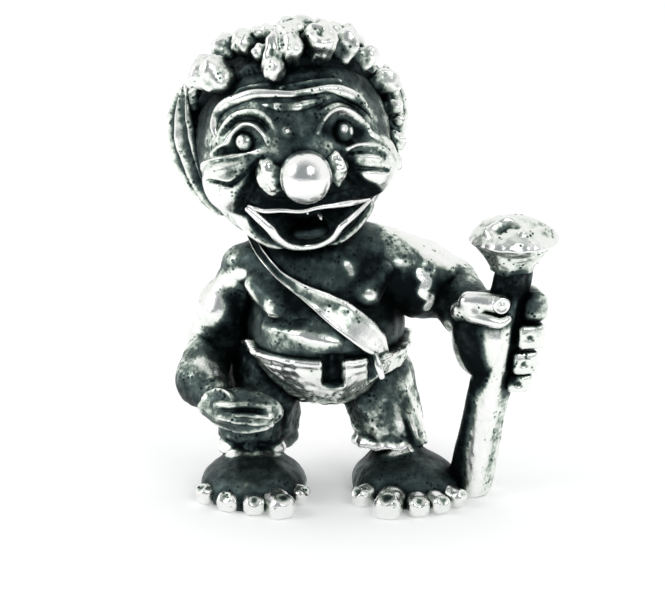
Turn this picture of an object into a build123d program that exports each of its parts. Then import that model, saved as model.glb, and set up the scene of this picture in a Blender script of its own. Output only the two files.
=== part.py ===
from build123d import *
import math
import os

# A small silver troll that stands with a club, made of castings that are pegged and soldered together.
# Millimetres. The troll faces -Y, +X is its own left-hand side, and +Z is up from the floor it stands on.
# A direction is a heading, in degrees from straight ahead towards its left, and a rise above level.

# Joints between the castings
peg_width = 1.4
peg_length = 2.2
small_peg_width = 0.8
small_peg_length = 1.5
neck_peg_width = 2.0
peg_fit = 0.04
overrun = 40.0

# Belly, chest and neck
belly_height = 10.6
belly_width = 10.3
belly_depth = 10.6
belly_tall = 9.2
spine_length = 3.5
chest_width = 9.4
chest_depth = 8.0
chest_tall = 7.8
yoke_width = 4.3
breast_width = 3.9
breast_depth = 2.6
breast_tall = 3.0
neck_length = 2.15
neck_width = 4.4

# Head, in its own frame at the middle of the skull
head_turn = 6.6
head_lean = -6.0
skull_width = 12.2
skull_tall = 12.9
muzzle_width = 8.4
muzzle_tall = 6.7
muzzle_drop = 2.55
muzzle_reach = 2.3
cheek_width = 4.1
cheek_sink = 1.15

# Mouth
mouth_width = 7.5
mouth_height = 2.75
mouth_drop = 2.4
lip_width = 0.56
tongue_width = 3.0
tongue_tall = 1.2

# Nose, eyes and brow
nose_width = 3.2
nose_drop = 0.4
nose_reach = 0.6
wing_spread = 3.9
wing_width = 1.7
wing_tall = 2.4
eye_heading = 34.0
eye_rise = 16.5
eye_width = 1.9
eye_sink = 0.35
socket_width = 3.0
socket_depth = 0.6
brow_width = 0.85

# Ears and hair
ear_thickness = 0.9
ear_depth = 3.5
ear_tall = 8.4
ear_flare = 34.0
ear_heading = 97.0
ear_rise = 3.0
ear_stand = 0.9
ear_bowl_depth = 0.45
hair_thickness = 0.45
hairline_height = 2.85
hairline_slope = 38.7
curl_width = 2.2
curl_lift = 0.1

# Strap across the chest
strap_thickness = 0.35
strap_top_width = 0.5
strap_end_width = 1.7
strap_top_out = 6.1
strap_top_height = 17.3
strap_end_out = 3.4
strap_bow = 1.15
strap_tuck = 0.8

# Trousers
waist_height = 9.5
cloth_thickness = 0.45
seat_thickness = 0.65
fly_width = 1.3
fly_depth = 2.1
fly_out = 0.95
tuck_width = 0.8
tuck_depth = 2.3
tuck_out = 2.5
right_hip_out = 3.6
left_hip_out = 3.15
hip_drop = 3.6
thigh_width = 4.7
trouser_leg_length = 3.9
hem_width = 4.4
cuff_width = 3.6
cuff_depth = 0.5

# Feet
foot_width = 7.2
foot_length = 8.2
foot_tall = 2.8
foot_reach = 2.0
right_foot_heading = 3.0
left_foot_heading = 30.0
instep_width = 5.2
instep_height = 1.4
ankle_width = 3.0
ankle_height = 3.4
big_toe_width = 1.7
toe_height = 0.72
toe_length = 2.6

# Right arm, its hand laid on the hip
right_shoulder_reach = 4.7
right_upper_arm_length = 5.9
right_forearm_length = 3.1
right_cuff_length = 2.5
shoulder_width = 4.1
elbow_width = 4.1
forearm_width = 3.5
wrist_width = 2.9
palm_length = 4.4
palm_width = 2.5
palm_reach = 2.0
finger_length = 3.2
finger_width = 0.8

# Left arm, its fist round the club
left_shoulder_reach = 3.6
left_upper_arm_length = 5.4
left_forearm_length = 2.9
fist_reach = 1.9
fist_width = 4.8
fist_depth = 4.2
fist_tall = 6.2
fist_finger_width = 1.75
fist_finger_pitch = 1.62
thumb_width = 1.5

# Club
club_foot_out = 9.2
club_foot_front = 2.6
club_length = 14.2
club_heading = 70.0
club_rise = 79.5
club_foot_width = 2.8
club_neck_width = 2.2
club_fit = 0.05
club_head_width = 5.4
club_head_tall = 4.6
club_dome_tall = 1.7
club_collar_width = 2.7
club_head_lean = 4.0
tenon_length = 1.6


# Directions and places

def direction(heading, rise):
    """The unit vector of a heading and a rise."""
    across = math.sin(math.radians(heading)) * math.cos(math.radians(rise))
    ahead = math.cos(math.radians(heading)) * math.cos(math.radians(rise))
    return Vector(across, -ahead, math.sin(math.radians(rise)))


def reach(start, length, heading, rise):
    """The place at a length from start."""
    return Vector(*start) + direction(heading, rise) * length


def on_skull(heading, rise, height=0):
    """The place on the skull that lies that way from its middle, raised by height."""
    way = direction(heading, rise)
    radius, half_straight = min(skull_width, skull_tall) / 2, abs(skull_tall - skull_width) / 2
    along_share = abs(way.Z if skull_tall > skull_width else way.X)
    square_share = math.sqrt(1 - along_share * along_share)
    if along_share * radius <= half_straight * square_share:
        distance = radius / square_share
    else:
        offset = half_straight * square_share
        distance = half_straight * along_share + math.sqrt(radius * radius - offset * offset)
    return way * (distance + height)


def on_egg(egg_place, size, heading, rise, height=0):
    """The place on an egg's surface that lies that way from its middle, raised by height."""
    way = direction(heading, rise)
    shares = (2 * way.X / size[0], 2 * way.Y / size[1], 2 * way.Z / size[2])
    distance = 1 / math.sqrt(sum(share * share for share in shares))
    return Vector(*egg_place) + way * (distance + height)


def front_of_face(across, up):
    """How far forward the face reaches, at a place given across and up from the skull's middle."""
    reaches = []
    for place, width, spread, tall in (skull_form, muzzle_form):
        radius = width / 2
        beside = max(0, abs(across - place.X) - spread / 2)
        beyond = max(0, abs(up - place.Z) - tall / 2)
        rest = radius * radius - beside * beside - beyond * beyond
        if rest > 0:
            reaches.append(place.Y - math.sqrt(rest))
    return min(reaches)


# Shapes

def ball(place, width):
    """A ball."""
    return Pos(*place) * Sphere(width / 2)


def egg(place, size, turn=(0, 0, 0)):
    """A ball of radius 1, stretched to a width, depth and height, turned and set in place."""
    half_size = tuple(length / 2 for length in size)
    return Pos(*place) * Rotation(*turn) * scale(Sphere(1), by=half_size)


def limb(start, start_width, end, end_width):
    """A round bar from start to end that closes in a ball at each, with its side tangent to both."""
    start, end = Vector(*start), Vector(*end)
    length = (end - start).length
    start_radius, end_radius = start_width / 2, end_width / 2
    lean = math.asin((start_radius - end_radius) / length)
    low, high = (lean - math.pi / 2) / 2, (lean + math.pi / 2) / 2

    def at(radius, angle, rise):
        return (radius * math.cos(angle), 0, rise + radius * math.sin(angle))

    outline = [
        ThreePointArc((0, 0, -start_radius), at(start_radius, low, 0), at(start_radius, lean, 0)),
        Line(at(start_radius, lean, 0), at(end_radius, lean, length)),
        ThreePointArc(at(end_radius, lean, length), at(end_radius, high, length), (0, 0, length + end_radius)),
        Line((0, 0, length + end_radius), (0, 0, -start_radius)),
    ]
    bar = revolve(make_face(outline), Axis.Z, 360)
    return Plane(origin=start, z_dir=end - start) * bar


def chain(places, widths):
    """Round bars from place to place, fused. Each starts a little thinner, inside the ball before it."""
    start_share = 0.97
    bars = [
        limb(places[i], widths[i] * (start_share if i else 1), places[i + 1], widths[i + 1])
        for i in range(len(places) - 1)
    ]
    return bars[0] if len(bars) == 1 else bars[0].fuse(*bars[1:])


def rod(place, way, width, back, ahead):
    """A plain rod along a way, from back behind the place to ahead of it."""
    whole = Cylinder(width / 2, back + ahead, align=(Align.CENTER, Align.CENTER, Align.MIN))
    return Plane(origin=Vector(*place) - way * back, z_dir=way) * whole


def slab_below(height):
    """Everything below a height."""
    return Pos(0, 0, height) * Box(overrun, overrun, overrun, align=(Align.CENTER, Align.CENTER, Align.MAX))


def slab_above(height):
    """Everything above a height."""
    return Pos(0, 0, height) * Box(overrun, overrun, overrun, align=(Align.CENTER, Align.CENTER, Align.MIN))


# Skeleton: the places that the castings are built on

belly_place = Vector(0, 0, belly_height)
chest_place = reach(belly_place, spine_length, -59, 80.3)
head_place = reach(chest_place, neck_length + skull_tall / 2, -74.6, 80)
neck_way = (head_place - chest_place).normalized()
head_frame = Pos(*head_place) * Rotation(0, 0, head_turn) * Rotation(0, head_lean, 0)

chest_size = (chest_width, chest_depth, chest_tall)
breast_size = (breast_width, breast_depth, breast_tall)

# Skull and muzzle are round bars: each has its middle, its width, and how far its axis runs across and up
skull_form = (Vector(0, 0, 0), min(skull_width, skull_tall), max(0, skull_width - skull_tall),
              max(0, skull_tall - skull_width))
muzzle_form = (Vector(0, -muzzle_reach, -muzzle_drop), muzzle_tall, muzzle_width - muzzle_tall, 0)

ear_place = on_skull(ear_heading, ear_rise, ear_stand)
breast_ways = ((-44, -8), (48, 2))

right_hip = belly_place + Vector(-right_hip_out, 0, -hip_drop)
left_hip = belly_place + Vector(left_hip_out, 0, -hip_drop)
right_hem = reach(right_hip, trouser_leg_length, -59, -71)
left_hem = reach(left_hip, trouser_leg_length, 57, -71)
right_ankle = Vector(right_hem.X, right_hem.Y, ankle_height)
left_ankle = Vector(left_hem.X, left_hem.Y, ankle_height)
right_foot_place = reach((right_hem.X, right_hem.Y, 0), foot_reach, right_foot_heading, 0)
left_foot_place = reach((left_hem.X, left_hem.Y, 0), foot_reach, left_foot_heading, 0)

right_shoulder = reach(chest_place, right_shoulder_reach, -88.8, 6)
right_elbow = reach(right_shoulder, right_upper_arm_length, -118, -66)
right_cuff = reach(right_elbow, right_forearm_length, -14, -37.5)
right_wrist = reach(right_cuff, right_cuff_length, 27.6, -16.5)
right_palm = reach(right_wrist, palm_reach, 59.5, -4.3)

left_shoulder = reach(chest_place, left_shoulder_reach, 90, 12)
left_elbow = reach(left_shoulder, left_upper_arm_length, 100, -22)
left_wrist = reach(left_elbow, left_forearm_length, 24, -16)
left_palm = reach(left_wrist, fist_reach, 47.5, -31.6)

club_foot = Vector(club_foot_out, -club_foot_front, 0)
club_way = direction(club_heading, club_rise)
club_neck = club_foot + club_way * club_length


# Body

def torso_shape(grow):
    """Belly, chest, yoke, neck and two breasts as one shape, thicker all round by grow."""
    wider = 2 * grow
    neck_top_share = 0.64
    neck_top = chest_place + (head_place - chest_place) * neck_top_share
    lumps = [
        egg(chest_place, (chest_width + wider, chest_depth + wider, chest_tall + wider)),
        limb(right_shoulder, yoke_width + wider, left_shoulder, yoke_width + wider),
        limb(chest_place, neck_width + wider, neck_top, neck_width + wider),
    ]
    for heading, rise in breast_ways:
        size = (breast_width + wider, breast_depth + wider, breast_tall + wider)
        lumps.append(egg(on_egg(chest_place, chest_size, heading, rise), size, (0, 0, heading)))
    belly = egg(belly_place, (belly_width + wider, belly_depth + wider, belly_tall + wider))
    return belly.fuse(*lumps)


def strap_band():
    """The slanted band, seen from the front, that the strap fills, endless from front to back."""
    top = Vector(-strap_top_out, 0, strap_top_height)
    end = Vector(strap_end_out, 0, waist_height - strap_tuck)
    run = (end - top).normalized()
    square = Vector(-run.Z, 0, run.X)
    middle = (top + end) / 2 + square * strap_bow
    half_top, half_end = square * (strap_top_width / 2), square * (strap_end_width / 2)
    half_middle = (half_top + half_end) / 2
    outline = [
        ThreePointArc(top + half_top, middle + half_middle, end + half_end),
        Line(end + half_end, end - half_end),
        ThreePointArc(end - half_end, middle - half_middle, top - half_top),
        Line(top - half_top, top + half_top),
    ]
    return extrude(make_face(outline), amount=overrun / 2, both=True)


def make_seat(torso):
    """The trousers' seat: a cup round the belly, with the fly and the strap's tuck open in its front."""
    size = (belly_width + 2 * cloth_thickness, belly_depth + 2 * cloth_thickness,
            belly_tall + 2 * seat_thickness)
    outside = egg(belly_place, size)
    cup = outside - slab_above(waist_height) - torso
    front_slot = (Align.CENTER, Align.MAX, Align.MIN)
    fly = Pos(fly_out, 0, waist_height - fly_depth) * Box(fly_width, overrun, overrun, align=front_slot)
    tuck = Pos(tuck_out, 0, waist_height - tuck_depth) * Box(tuck_width, overrun, overrun, align=front_slot)
    return outside - slab_above(waist_height), cup - fly - tuck


def make_trouser_leg(hip, hem, seat_outside, foot):
    """A trouser leg from the seat down to its hem, hollowed a little above the hem."""
    leg = limb(hip, thigh_width, hem, hem_width) - slab_below(hem.Z)
    cuff = rod(hem, Vector(0, 0, 1), cuff_width, cuff_depth, cuff_depth)
    return leg - seat_outside - cuff - foot


# Feet

def make_foot(ankle, foot_place, heading):
    """A bell-shaped foot: a lying round bar sunk in the floor, with a cone up to the ankle."""
    radius = (foot_width * foot_width / 4 + foot_tall * foot_tall) / (2 * foot_tall)
    middle = foot_place + Vector(0, 0, foot_tall - radius)
    half_axis = direction(heading, 0) * ((foot_length - foot_width) / 2)
    instep_place = foot_place + Vector(0, 0, instep_height)
    sole = limb(middle - half_axis, 2 * radius, middle + half_axis, 2 * radius)
    return sole.fuse(limb(instep_place, instep_width, ankle, ankle_width)) - slab_below(0)


def make_toes(foot_place, foot, side):
    """Five toes round the front of a foot, the second from the inside the largest."""
    headings = (54, 20, -5, -28, -54)
    reach_shares = (0.46, 0.57, 0.53, 0.49, 0.47)
    width_shares = (0.8, 1, 0.8, 0.74, 0.68)
    toes = []
    for heading, reach_share, width_share in zip(headings, reach_shares, width_shares):
        width = big_toe_width * width_share
        way = direction(-heading * side, 0)
        tip = foot_place + way * (foot_length * reach_share) + Vector(0, 0, toe_height)
        root = tip - way * toe_length
        toes.append(limb(root, width, tip, width) - slab_below(0) - foot)
    return toes


# Head, in its own frame

def form_bar(form, grow=0):
    """The round bar of a form, thicker all round by grow."""
    place, width, spread, tall = form
    half_axis = Vector(spread / 2, 0, tall / 2)
    return limb(place - half_axis, width + 2 * grow, place + half_axis, width + 2 * grow)


def head_lump():
    """Skull, muzzle and cheeks as one closed lump."""
    cheeks = [ball(on_skull(heading, -9, -cheek_sink), cheek_width) for heading in (-51, 51)]
    return form_bar(skull_form).fuse(form_bar(muzzle_form), *cheeks)


def mouth_hollow():
    """The open mouth: the lower half of a round bar let into the face."""
    reach_share, drop_share = 0.88, 0.88
    drop = mouth_drop * drop_share
    half_axis = Vector(mouth_width / 2 * reach_share - drop, 0, 0)
    middle = Vector(0, front_of_face(0, -mouth_height), -mouth_height)
    return limb(middle - half_axis, 2 * drop, middle + half_axis, 2 * drop) - slab_above(-mouth_height)


def make_lips():
    """The rim of the mouth: an upper bar, nearly straight, and a lower one that hangs in a deep bow."""
    across_shares = (1, 0.78, 0.5, 0.2, -0.2, -0.5, -0.78, -1)
    drop_shares = (0, 0.38, 0.78, 0.98, 0.98, 0.78, 0.38, 0)
    upper_shares = (1, 0.6, 0.2, -0.2, -0.6, -1)
    inner_share = 0.9
    lower, upper = [], []
    for across_share, drop_share in zip(across_shares, drop_shares):
        across, up = across_share * mouth_width / 2, -mouth_height - drop_share * mouth_drop
        lower.append(Vector(across, front_of_face(across, up), up))
    for across_share in upper_shares:
        across = across_share * mouth_width / 2
        upper.append(Vector(across, front_of_face(across, -mouth_height), -mouth_height))
    upper_bar = chain(upper, [lip_width * inner_share] * len(upper))
    return chain(lower, [lip_width] * len(lower)).fuse(upper_bar)


def make_tongue():
    """The tongue, low in the mouth."""
    drop_share, back_share = 0.6, 0.5
    up = -mouth_height - mouth_drop * drop_share
    middle = Vector(0, front_of_face(0, up) + tongue_width * back_share, up)
    half_axis = Vector((tongue_width - tongue_tall) / 2, 0, 0)
    return limb(middle - half_axis, tongue_tall, middle + half_axis, tongue_tall)


def nose_place():
    """The middle of the ball of the nose."""
    return Vector(0, front_of_face(0, -nose_drop) - nose_reach, -nose_drop)


def make_nose():
    """A round ball with a wing at each side."""
    top_share = 0.9
    wings = []
    half_axis = Vector(0, 0, (wing_tall - wing_width) / 2)
    for side in (-1, 1):
        across = side * wing_spread / 2
        middle = Vector(across, front_of_face(across, -nose_drop), -nose_drop)
        wings.append(limb(middle - half_axis, wing_width, middle + half_axis, wing_width * top_share))
    return ball(nose_place(), nose_width).fuse(*wings)


def make_brow():
    """One ridge that arches over both eyes, down to the temples."""
    headings = (-56, -58, -48, -32, -14, 14, 32, 48, 58, 56)
    rises = (16, 27, 36, 40, 41, 41, 40, 36, 27, 16)
    places = [on_skull(heading, rise) for heading, rise in zip(headings, rises)]
    end_share = 0.7
    widths = [brow_width] * len(places)
    widths[0] = widths[-1] = brow_width * end_share
    return chain(places, widths)


def eye_place(side):
    """The middle of an eyeball."""
    return on_skull(side * eye_heading, eye_rise, -eye_sink)


def eye_socket(side):
    """The dish that an eyeball sits in."""
    return ball(on_skull(side * eye_heading, eye_rise, socket_width / 2 - socket_depth), socket_width)


def make_ear():
    """The left ear: a flat leaf with a blunt tip that flares backwards, with a bowl in its outer face."""
    low_shares = (-0.3, -0.5)
    rear_shares = (0.5, 0.06)
    tip_shares = (0.2, 0.5)
    front_shares = (-0.46, 0.08)
    bowl_share = 0.8

    def at(shares):
        return (0, ear_depth * shares[0], ear_tall * shares[1])

    low, tip = at(low_shares), at(tip_shares)
    leaf = make_face([ThreePointArc(low, at(rear_shares), tip), ThreePointArc(tip, at(front_shares), low)])
    shell = extrude(leaf, amount=ear_thickness / 2, both=True)
    bowl_width = ear_depth * bowl_share
    bowl_out = ear_thickness / 2 + bowl_width / 2 - ear_bowl_depth
    bowl = ball((bowl_out, 0, 0), bowl_width)
    return Pos(*ear_place) * Rotation(0, 0, -ear_flare) * (shell - bowl)


def make_hair():
    """A close cap behind the hairline, covered in round curls."""
    front_curls = (
        (-92, 48, 1.1), (-70, 52, 1), (-112, 68, 0.7), (-34, 72, 0.75), (4, 74, 0.85), (-4, 61, 0.8),
        (46, 65, 0.95), (84, 52, 0.8), (88, 29, 0.6), (-100, 32, 0.7),
    )
    rows = ((84, 6, 234, 3), (70, 17, 343, 4), (55, 118, 242, 7), (40, 112, 248, 9), (25, 112, 248, 9),
            (10, 118, 242, 9), (-5, 128, 232, 8), (-20, 140, 220, 6))
    face_side = Pos(0, 0, hairline_height) * Rotation(-hairline_slope, 0, 0) * slab_below(0)
    cap = form_bar(skull_form, hair_thickness) - face_side
    curls = [
        ball(on_skull(heading, rise, curl_lift), curl_width * width_share)
        for heading, rise, width_share in front_curls
    ]
    for rise, first, last, count in rows:
        for i in range(count):
            heading = first + (last - first) * i / (count - 1)
            curls.append(ball(on_skull(heading, rise, curl_lift), curl_width))
    return cap.fuse(*curls)


# Hands

def make_right_hand():
    """A flat hand, its four fingers fanned towards the fly and its thumb on top."""
    along = direction(72, -3)
    finger_way = direction(80, -3)
    knuckle_share, tip_share, thumb_share = 0.8, 0.8, 1.2
    spread_shares = (-0.36, -0.12, 0.12, 0.36)
    root_shares, end_shares = (-0.3, 0.3), (-0.36, 0.4)
    half_palm = along * (palm_length / 2 - palm_width / 2)
    palm = limb(right_palm - half_palm, palm_width, right_palm + half_palm, palm_width * knuckle_share)
    bars = []
    for spread_share in spread_shares:
        root = right_palm + Vector(0, 0, spread_share * palm_width)
        tip = root + finger_way * finger_length + Vector(0, 0, spread_share * finger_width)
        bars.append(limb(root, finger_width, tip, finger_width * tip_share))
    thumb_root = right_palm - half_palm + Vector(0, *root_shares) * palm_width
    thumb_tip = right_palm + half_palm + Vector(0, *end_shares) * palm_width
    bars.append(limb(thumb_root, finger_width * thumb_share, thumb_tip, finger_width))
    return palm.fuse(*bars)


def club_axis(height):
    """The place on the club's axis at a height."""
    return club_foot + club_way * (height / club_way.Z)


def make_left_fist():
    """A palm behind the club, and four fingers that come round it to the front."""
    heel_share = 0.85
    curl_shares = ((0.1, 0.95), (0.75, 0.55), (0.7, -0.4))
    pitch_shares = (1.23, 0.19, -0.86, -1.85)
    half_axis = club_way * ((fist_tall - fist_depth) / 2)
    palm = limb(left_palm - half_axis, fist_depth * heel_share, left_palm + half_axis, fist_depth)
    bars = []
    for pitch_share in pitch_shares:
        axis = club_axis(left_palm.Z + pitch_share * fist_finger_pitch)
        knuckles = [
            axis + Vector(across_share * fist_width / 2, back_share * fist_depth / 2, 0)
            for across_share, back_share in curl_shares
        ]
        bars.append(chain(knuckles, [fist_finger_width] * len(knuckles)))
    return palm.fuse(*bars)


def make_left_thumb():
    """The thumb, laid across the front of the club."""
    lift_share, middle_share = 0.33, 0.9
    out_shares = ((-1.0, -0.3), (-0.5, -0.82), (0, -0.86))
    axis = club_axis(left_palm.Z + fist_tall * lift_share)
    knuckles = [
        axis + Vector(across_share * fist_width / 2, ahead_share * fist_depth / 2, 0)
        for across_share, ahead_share in out_shares
    ]
    return chain(knuckles, (thumb_width, thumb_width * middle_share, thumb_width))


# Club

def make_club_shaft(grow):
    """The shaft, thicker at its foot, from the floor to the neck, thicker all round by grow."""
    length = club_length + tenon_length
    shaft = Cone(club_foot_width / 2 + grow, club_neck_width / 2 + grow, length,
                 align=(Align.CENTER, Align.CENTER, Align.MIN))
    foot = rod(club_foot, club_way, club_foot_width + 2 * grow, club_foot_width, 0)
    return (Plane(origin=club_foot, z_dir=club_way) * shaft).fuse(foot) - slab_below(0)


def make_club_head():
    """The knob: it flares from a collar to a rim, under a low dome."""
    bell_share = 0.62
    neck, rim = club_collar_width / 2, club_head_width / 2
    rim_height = club_head_tall - club_dome_tall
    dome_radius = (rim * rim + club_dome_tall * club_dome_tall) / (2 * club_dome_tall)
    half_angle = math.asin(rim / dome_radius) / 2
    dome_middle = (dome_radius * math.sin(half_angle), 0,
                   club_head_tall - dome_radius * (1 - math.cos(half_angle)))
    outline = [
        Line((0, 0, 0), (neck, 0, 0)),
        ThreePointArc((neck, 0, 0), (rim * bell_share, 0, rim_height * bell_share), (rim, 0, rim_height)),
        ThreePointArc((rim, 0, rim_height), dome_middle, (0, 0, club_head_tall)),
        Line((0, 0, club_head_tall), (0, 0, 0)),
    ]
    knob = revolve(make_face(outline), Axis.Z, 360)
    return Pos(*club_neck) * Rotation(0, club_head_lean, 0) * knob


# Assembly

def fit_peg(pieces, carrier, hosts, place, way, width, back, ahead):
    """A peg that is one with its carrier, and in each host a hole for it with the fit's clearance."""
    pieces[carrier] = pieces[carrier].fuse(rod(place, way, width, back, ahead))
    for host in hosts:
        pieces[host] = pieces[host] - rod(place, way, width + 2 * peg_fit, back, ahead + peg_fit)


def build_head():
    """The pieces of the head, still in its own frame, and the lump that its neighbours are cut by."""
    lump = head_lump()
    lips = make_lips()
    tongue = make_tongue() - lips
    left_ear = make_ear() - lump
    pieces = {
        "head": lump - mouth_hollow() - lips - tongue,
        "hair": make_hair() - lump,
        "lips": lips,
        "tongue": tongue,
        "brow": make_brow() - lump,
        "nose": make_nose() - lump,
        "left_ear": left_ear,
        "right_ear": mirror(left_ear, about=Plane.YZ),
    }
    fit_peg(pieces, "nose", ["head"], nose_place(), Vector(0, 1, 0), small_peg_width, 0,
            nose_reach + small_peg_length)
    for side, name in ((-1, "right"), (1, "left")):
        eyeball = ball(eye_place(side), eye_width)
        pieces["head"] = pieces["head"] - eye_socket(side) - eyeball
        pieces[f"{name}_eye"] = eyeball
        pieces["hair"] = pieces["hair"] - pieces[f"{name}_ear"]
        place = Vector(side * ear_place.X, ear_place.Y, ear_place.Z)
        fit_peg(pieces, f"{name}_ear", ["head"], place, -place.normalized(), small_peg_width, 0,
                ear_stand + small_peg_length)
    return pieces, lump


def build_legs(pieces, cup, shaft_bore):
    """The two feet with their toes, and the trouser legs that join them to the seat."""
    up = Vector(0, 0, 1)
    legs = (
        ("right", -1, right_hip, right_hem, right_ankle, right_foot_place, right_foot_heading),
        ("left", 1, left_hip, left_hem, left_ankle, left_foot_place, left_foot_heading),
    )
    for name, side, hip, hem, ankle, foot_place, heading in legs:
        foot = make_foot(ankle, foot_place, heading) - shaft_bore
        toes = make_toes(foot_place, foot, side)
        leg_way = (hip - hem).normalized()
        pieces[f"{name}_toes"] = Compound(children=[toe - shaft_bore for toe in toes])
        pieces[f"{name}_foot"] = foot
        pieces[f"{name}_trouser_leg"] = make_trouser_leg(hip, hem, cup, foot)
        fit_peg(pieces, f"{name}_trouser_leg", ["trousers", "torso"], hip, leg_way, peg_width,
                peg_length, peg_length / 2)
        fit_peg(pieces, f"{name}_foot", [f"{name}_trouser_leg"], ankle, up, peg_width,
                ankle_width / 4, ankle_width / 2 + peg_length / 2)


def build_arms(pieces, torso, cup, shaft_bore):
    """Both arms and hands, each cut by the ball of the joint that it starts from, and pegged into it."""
    start_share = 0.9
    start_width = elbow_width * start_share

    upper_arm = limb(right_shoulder, shoulder_width, right_elbow, elbow_width)
    forearm = chain((right_elbow, right_cuff, right_wrist), (start_width, forearm_width, wrist_width))
    pieces["right_upper_arm"] = upper_arm - torso
    pieces["right_forearm"] = forearm - upper_arm - torso - cup
    pieces["right_hand"] = make_right_hand() - forearm - torso - cup - pieces["right_trouser_leg"]
    pieces["shoulder_strap"] = pieces["shoulder_strap"] - upper_arm

    upper_arm = limb(left_shoulder, shoulder_width, left_elbow, elbow_width)
    forearm = limb(left_elbow, start_width, left_wrist, wrist_width)
    thumb = make_left_thumb() - shaft_bore
    pieces["left_upper_arm"] = upper_arm - torso
    pieces["left_forearm"] = forearm - upper_arm
    pieces["left_thumb"] = thumb
    pieces["left_fist"] = make_left_fist() - forearm - thumb

    joints = (
        ("right_upper_arm", "torso", right_shoulder, right_elbow, yoke_width),
        ("left_upper_arm", "torso", left_shoulder, left_elbow, yoke_width),
        ("right_forearm", "right_upper_arm", right_elbow, right_cuff, elbow_width),
        ("left_forearm", "left_upper_arm", left_elbow, left_wrist, elbow_width),
        ("right_hand", "right_forearm", right_wrist, right_palm, wrist_width),
        ("left_fist", "left_forearm", left_wrist, left_palm, wrist_width),
    )
    for carrier, host, joint, towards, width in joints:
        outward = (towards - joint).normalized()
        face = joint + outward * (width / 2)
        fit_peg(pieces, carrier, [host], face, -outward, peg_width, peg_length / 2, peg_length)
    pieces["left_fist"] = pieces["left_fist"] - shaft_bore


def build_troll():
    """All the pieces, cut to each other and pegged, in the troll's own frame."""
    head_pieces, lump = build_head()
    pieces = {name: head_frame * piece for name, piece in head_pieces.items()}
    lump = head_frame * lump

    torso = torso_shape(0) - lump
    cup, pieces["trousers"] = make_seat(torso)
    pieces["torso"] = torso
    pieces["shoulder_strap"] = (torso_shape(strap_thickness) & strap_band()) - torso - cup - lump

    shaft_bore = make_club_shaft(club_fit)
    build_legs(pieces, cup, shaft_bore)
    build_arms(pieces, torso, cup, shaft_bore)
    pieces["club_shaft"] = make_club_shaft(0)
    pieces["club_head"] = make_club_head() - shaft_bore - pieces["left_fist"] - pieces["left_thumb"]

    jaw_place = head_place - neck_way * (skull_tall / 2)
    fit_peg(pieces, "torso", ["head"], jaw_place, neck_way, neck_peg_width, peg_length, peg_length)
    return pieces


def centred(pieces):
    """The pieces moved together, so that the origin lies under the middle of the whole, on the floor."""
    boxes = [piece.bounding_box() for piece in pieces.values()]
    left, right = min(box.min.X for box in boxes), max(box.max.X for box in boxes)
    front, back = min(box.min.Y for box in boxes), max(box.max.Y for box in boxes)
    shift = Pos(-(left + right) / 2, -(front + back) / 2, -min(box.min.Z for box in boxes))
    print("shift", shift.position, "width", right - left, "depth", back - front)
    return {name: shift * piece for name, piece in pieces.items()}


os.makedirs("parts", exist_ok=True)
for node, piece in centred(build_troll()).items():
    print(node, "solids", len(piece.solids()), "volume", round(piece.volume, 2))
    export_step(piece, f"parts/{node}.step")
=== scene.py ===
# %% [markdown]
# A few painted glints, painted shade and painted highlights are added to the oxide as well.
# A small silver troll with a club.
# The real ornament is a lost-wax casting about 30 mm tall, dipped in liver of sulphur until it is black, and then
# tumbled and buffed so that silver comes back on everything that stands out. Two things make its look: lumpy
# hand-modelled forms, and the border between bright metal and dark oxide. This script makes both with numpy: the
# forms are surfaces found along rays, and the oxide is worked out from how sheltered each point of the surface is.
# The imported CAD model is the fixed frame. All the lengths below are millimetres in the troll's own frame, whose
# origin lies under the middle of the belly: it faces -Y, +X is its own left, and +Z is up.

# %% The frame
import itertools
import math

import bpy
import numpy as np
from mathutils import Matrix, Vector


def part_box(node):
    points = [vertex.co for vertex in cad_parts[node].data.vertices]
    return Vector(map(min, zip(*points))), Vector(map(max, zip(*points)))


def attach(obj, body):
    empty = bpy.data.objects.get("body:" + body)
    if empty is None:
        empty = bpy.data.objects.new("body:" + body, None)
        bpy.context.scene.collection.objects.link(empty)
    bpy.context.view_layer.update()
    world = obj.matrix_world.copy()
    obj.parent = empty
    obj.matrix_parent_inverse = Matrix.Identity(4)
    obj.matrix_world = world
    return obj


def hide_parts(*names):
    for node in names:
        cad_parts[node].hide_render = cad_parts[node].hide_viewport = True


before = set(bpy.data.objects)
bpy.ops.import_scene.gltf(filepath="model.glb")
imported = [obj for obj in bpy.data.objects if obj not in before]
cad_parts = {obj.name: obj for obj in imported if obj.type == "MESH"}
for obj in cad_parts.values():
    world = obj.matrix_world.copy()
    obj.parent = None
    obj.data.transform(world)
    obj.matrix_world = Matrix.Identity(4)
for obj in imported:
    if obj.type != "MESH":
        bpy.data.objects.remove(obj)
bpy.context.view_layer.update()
MM = 0.001
low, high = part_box("trousers")
ORIGIN = np.array([(low[0] + high[0]) / 2, (low[1] + high[1]) / 2, 0])

# %% [markdown]
# Places on the skeleton.
# A modeller in wax starts from a wire armature. Here it is a few named places, each given as a length, a heading
# and a rise from the place before, the same as in the CAD model, so that every surface lies where its solid does.

# %% Directions and the skeleton
def unit(vectors):
    """Each vector divided by its length."""
    return vectors / np.linalg.norm(vectors, axis=-1, keepdims=True)


def direction(heading, rise):
    """Unit vector: heading turns from straight ahead (-Y) towards +X, and rise lifts it above level, in degrees."""
    heading, rise = np.radians(heading), np.radians(rise)
    return np.stack([np.sin(heading) * np.cos(rise), -np.cos(heading) * np.cos(rise), np.sin(rise)], axis=-1)


def reach(start, length, heading, rise):
    """The place at a length from start."""
    return start + direction(heading, rise) * length


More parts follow.
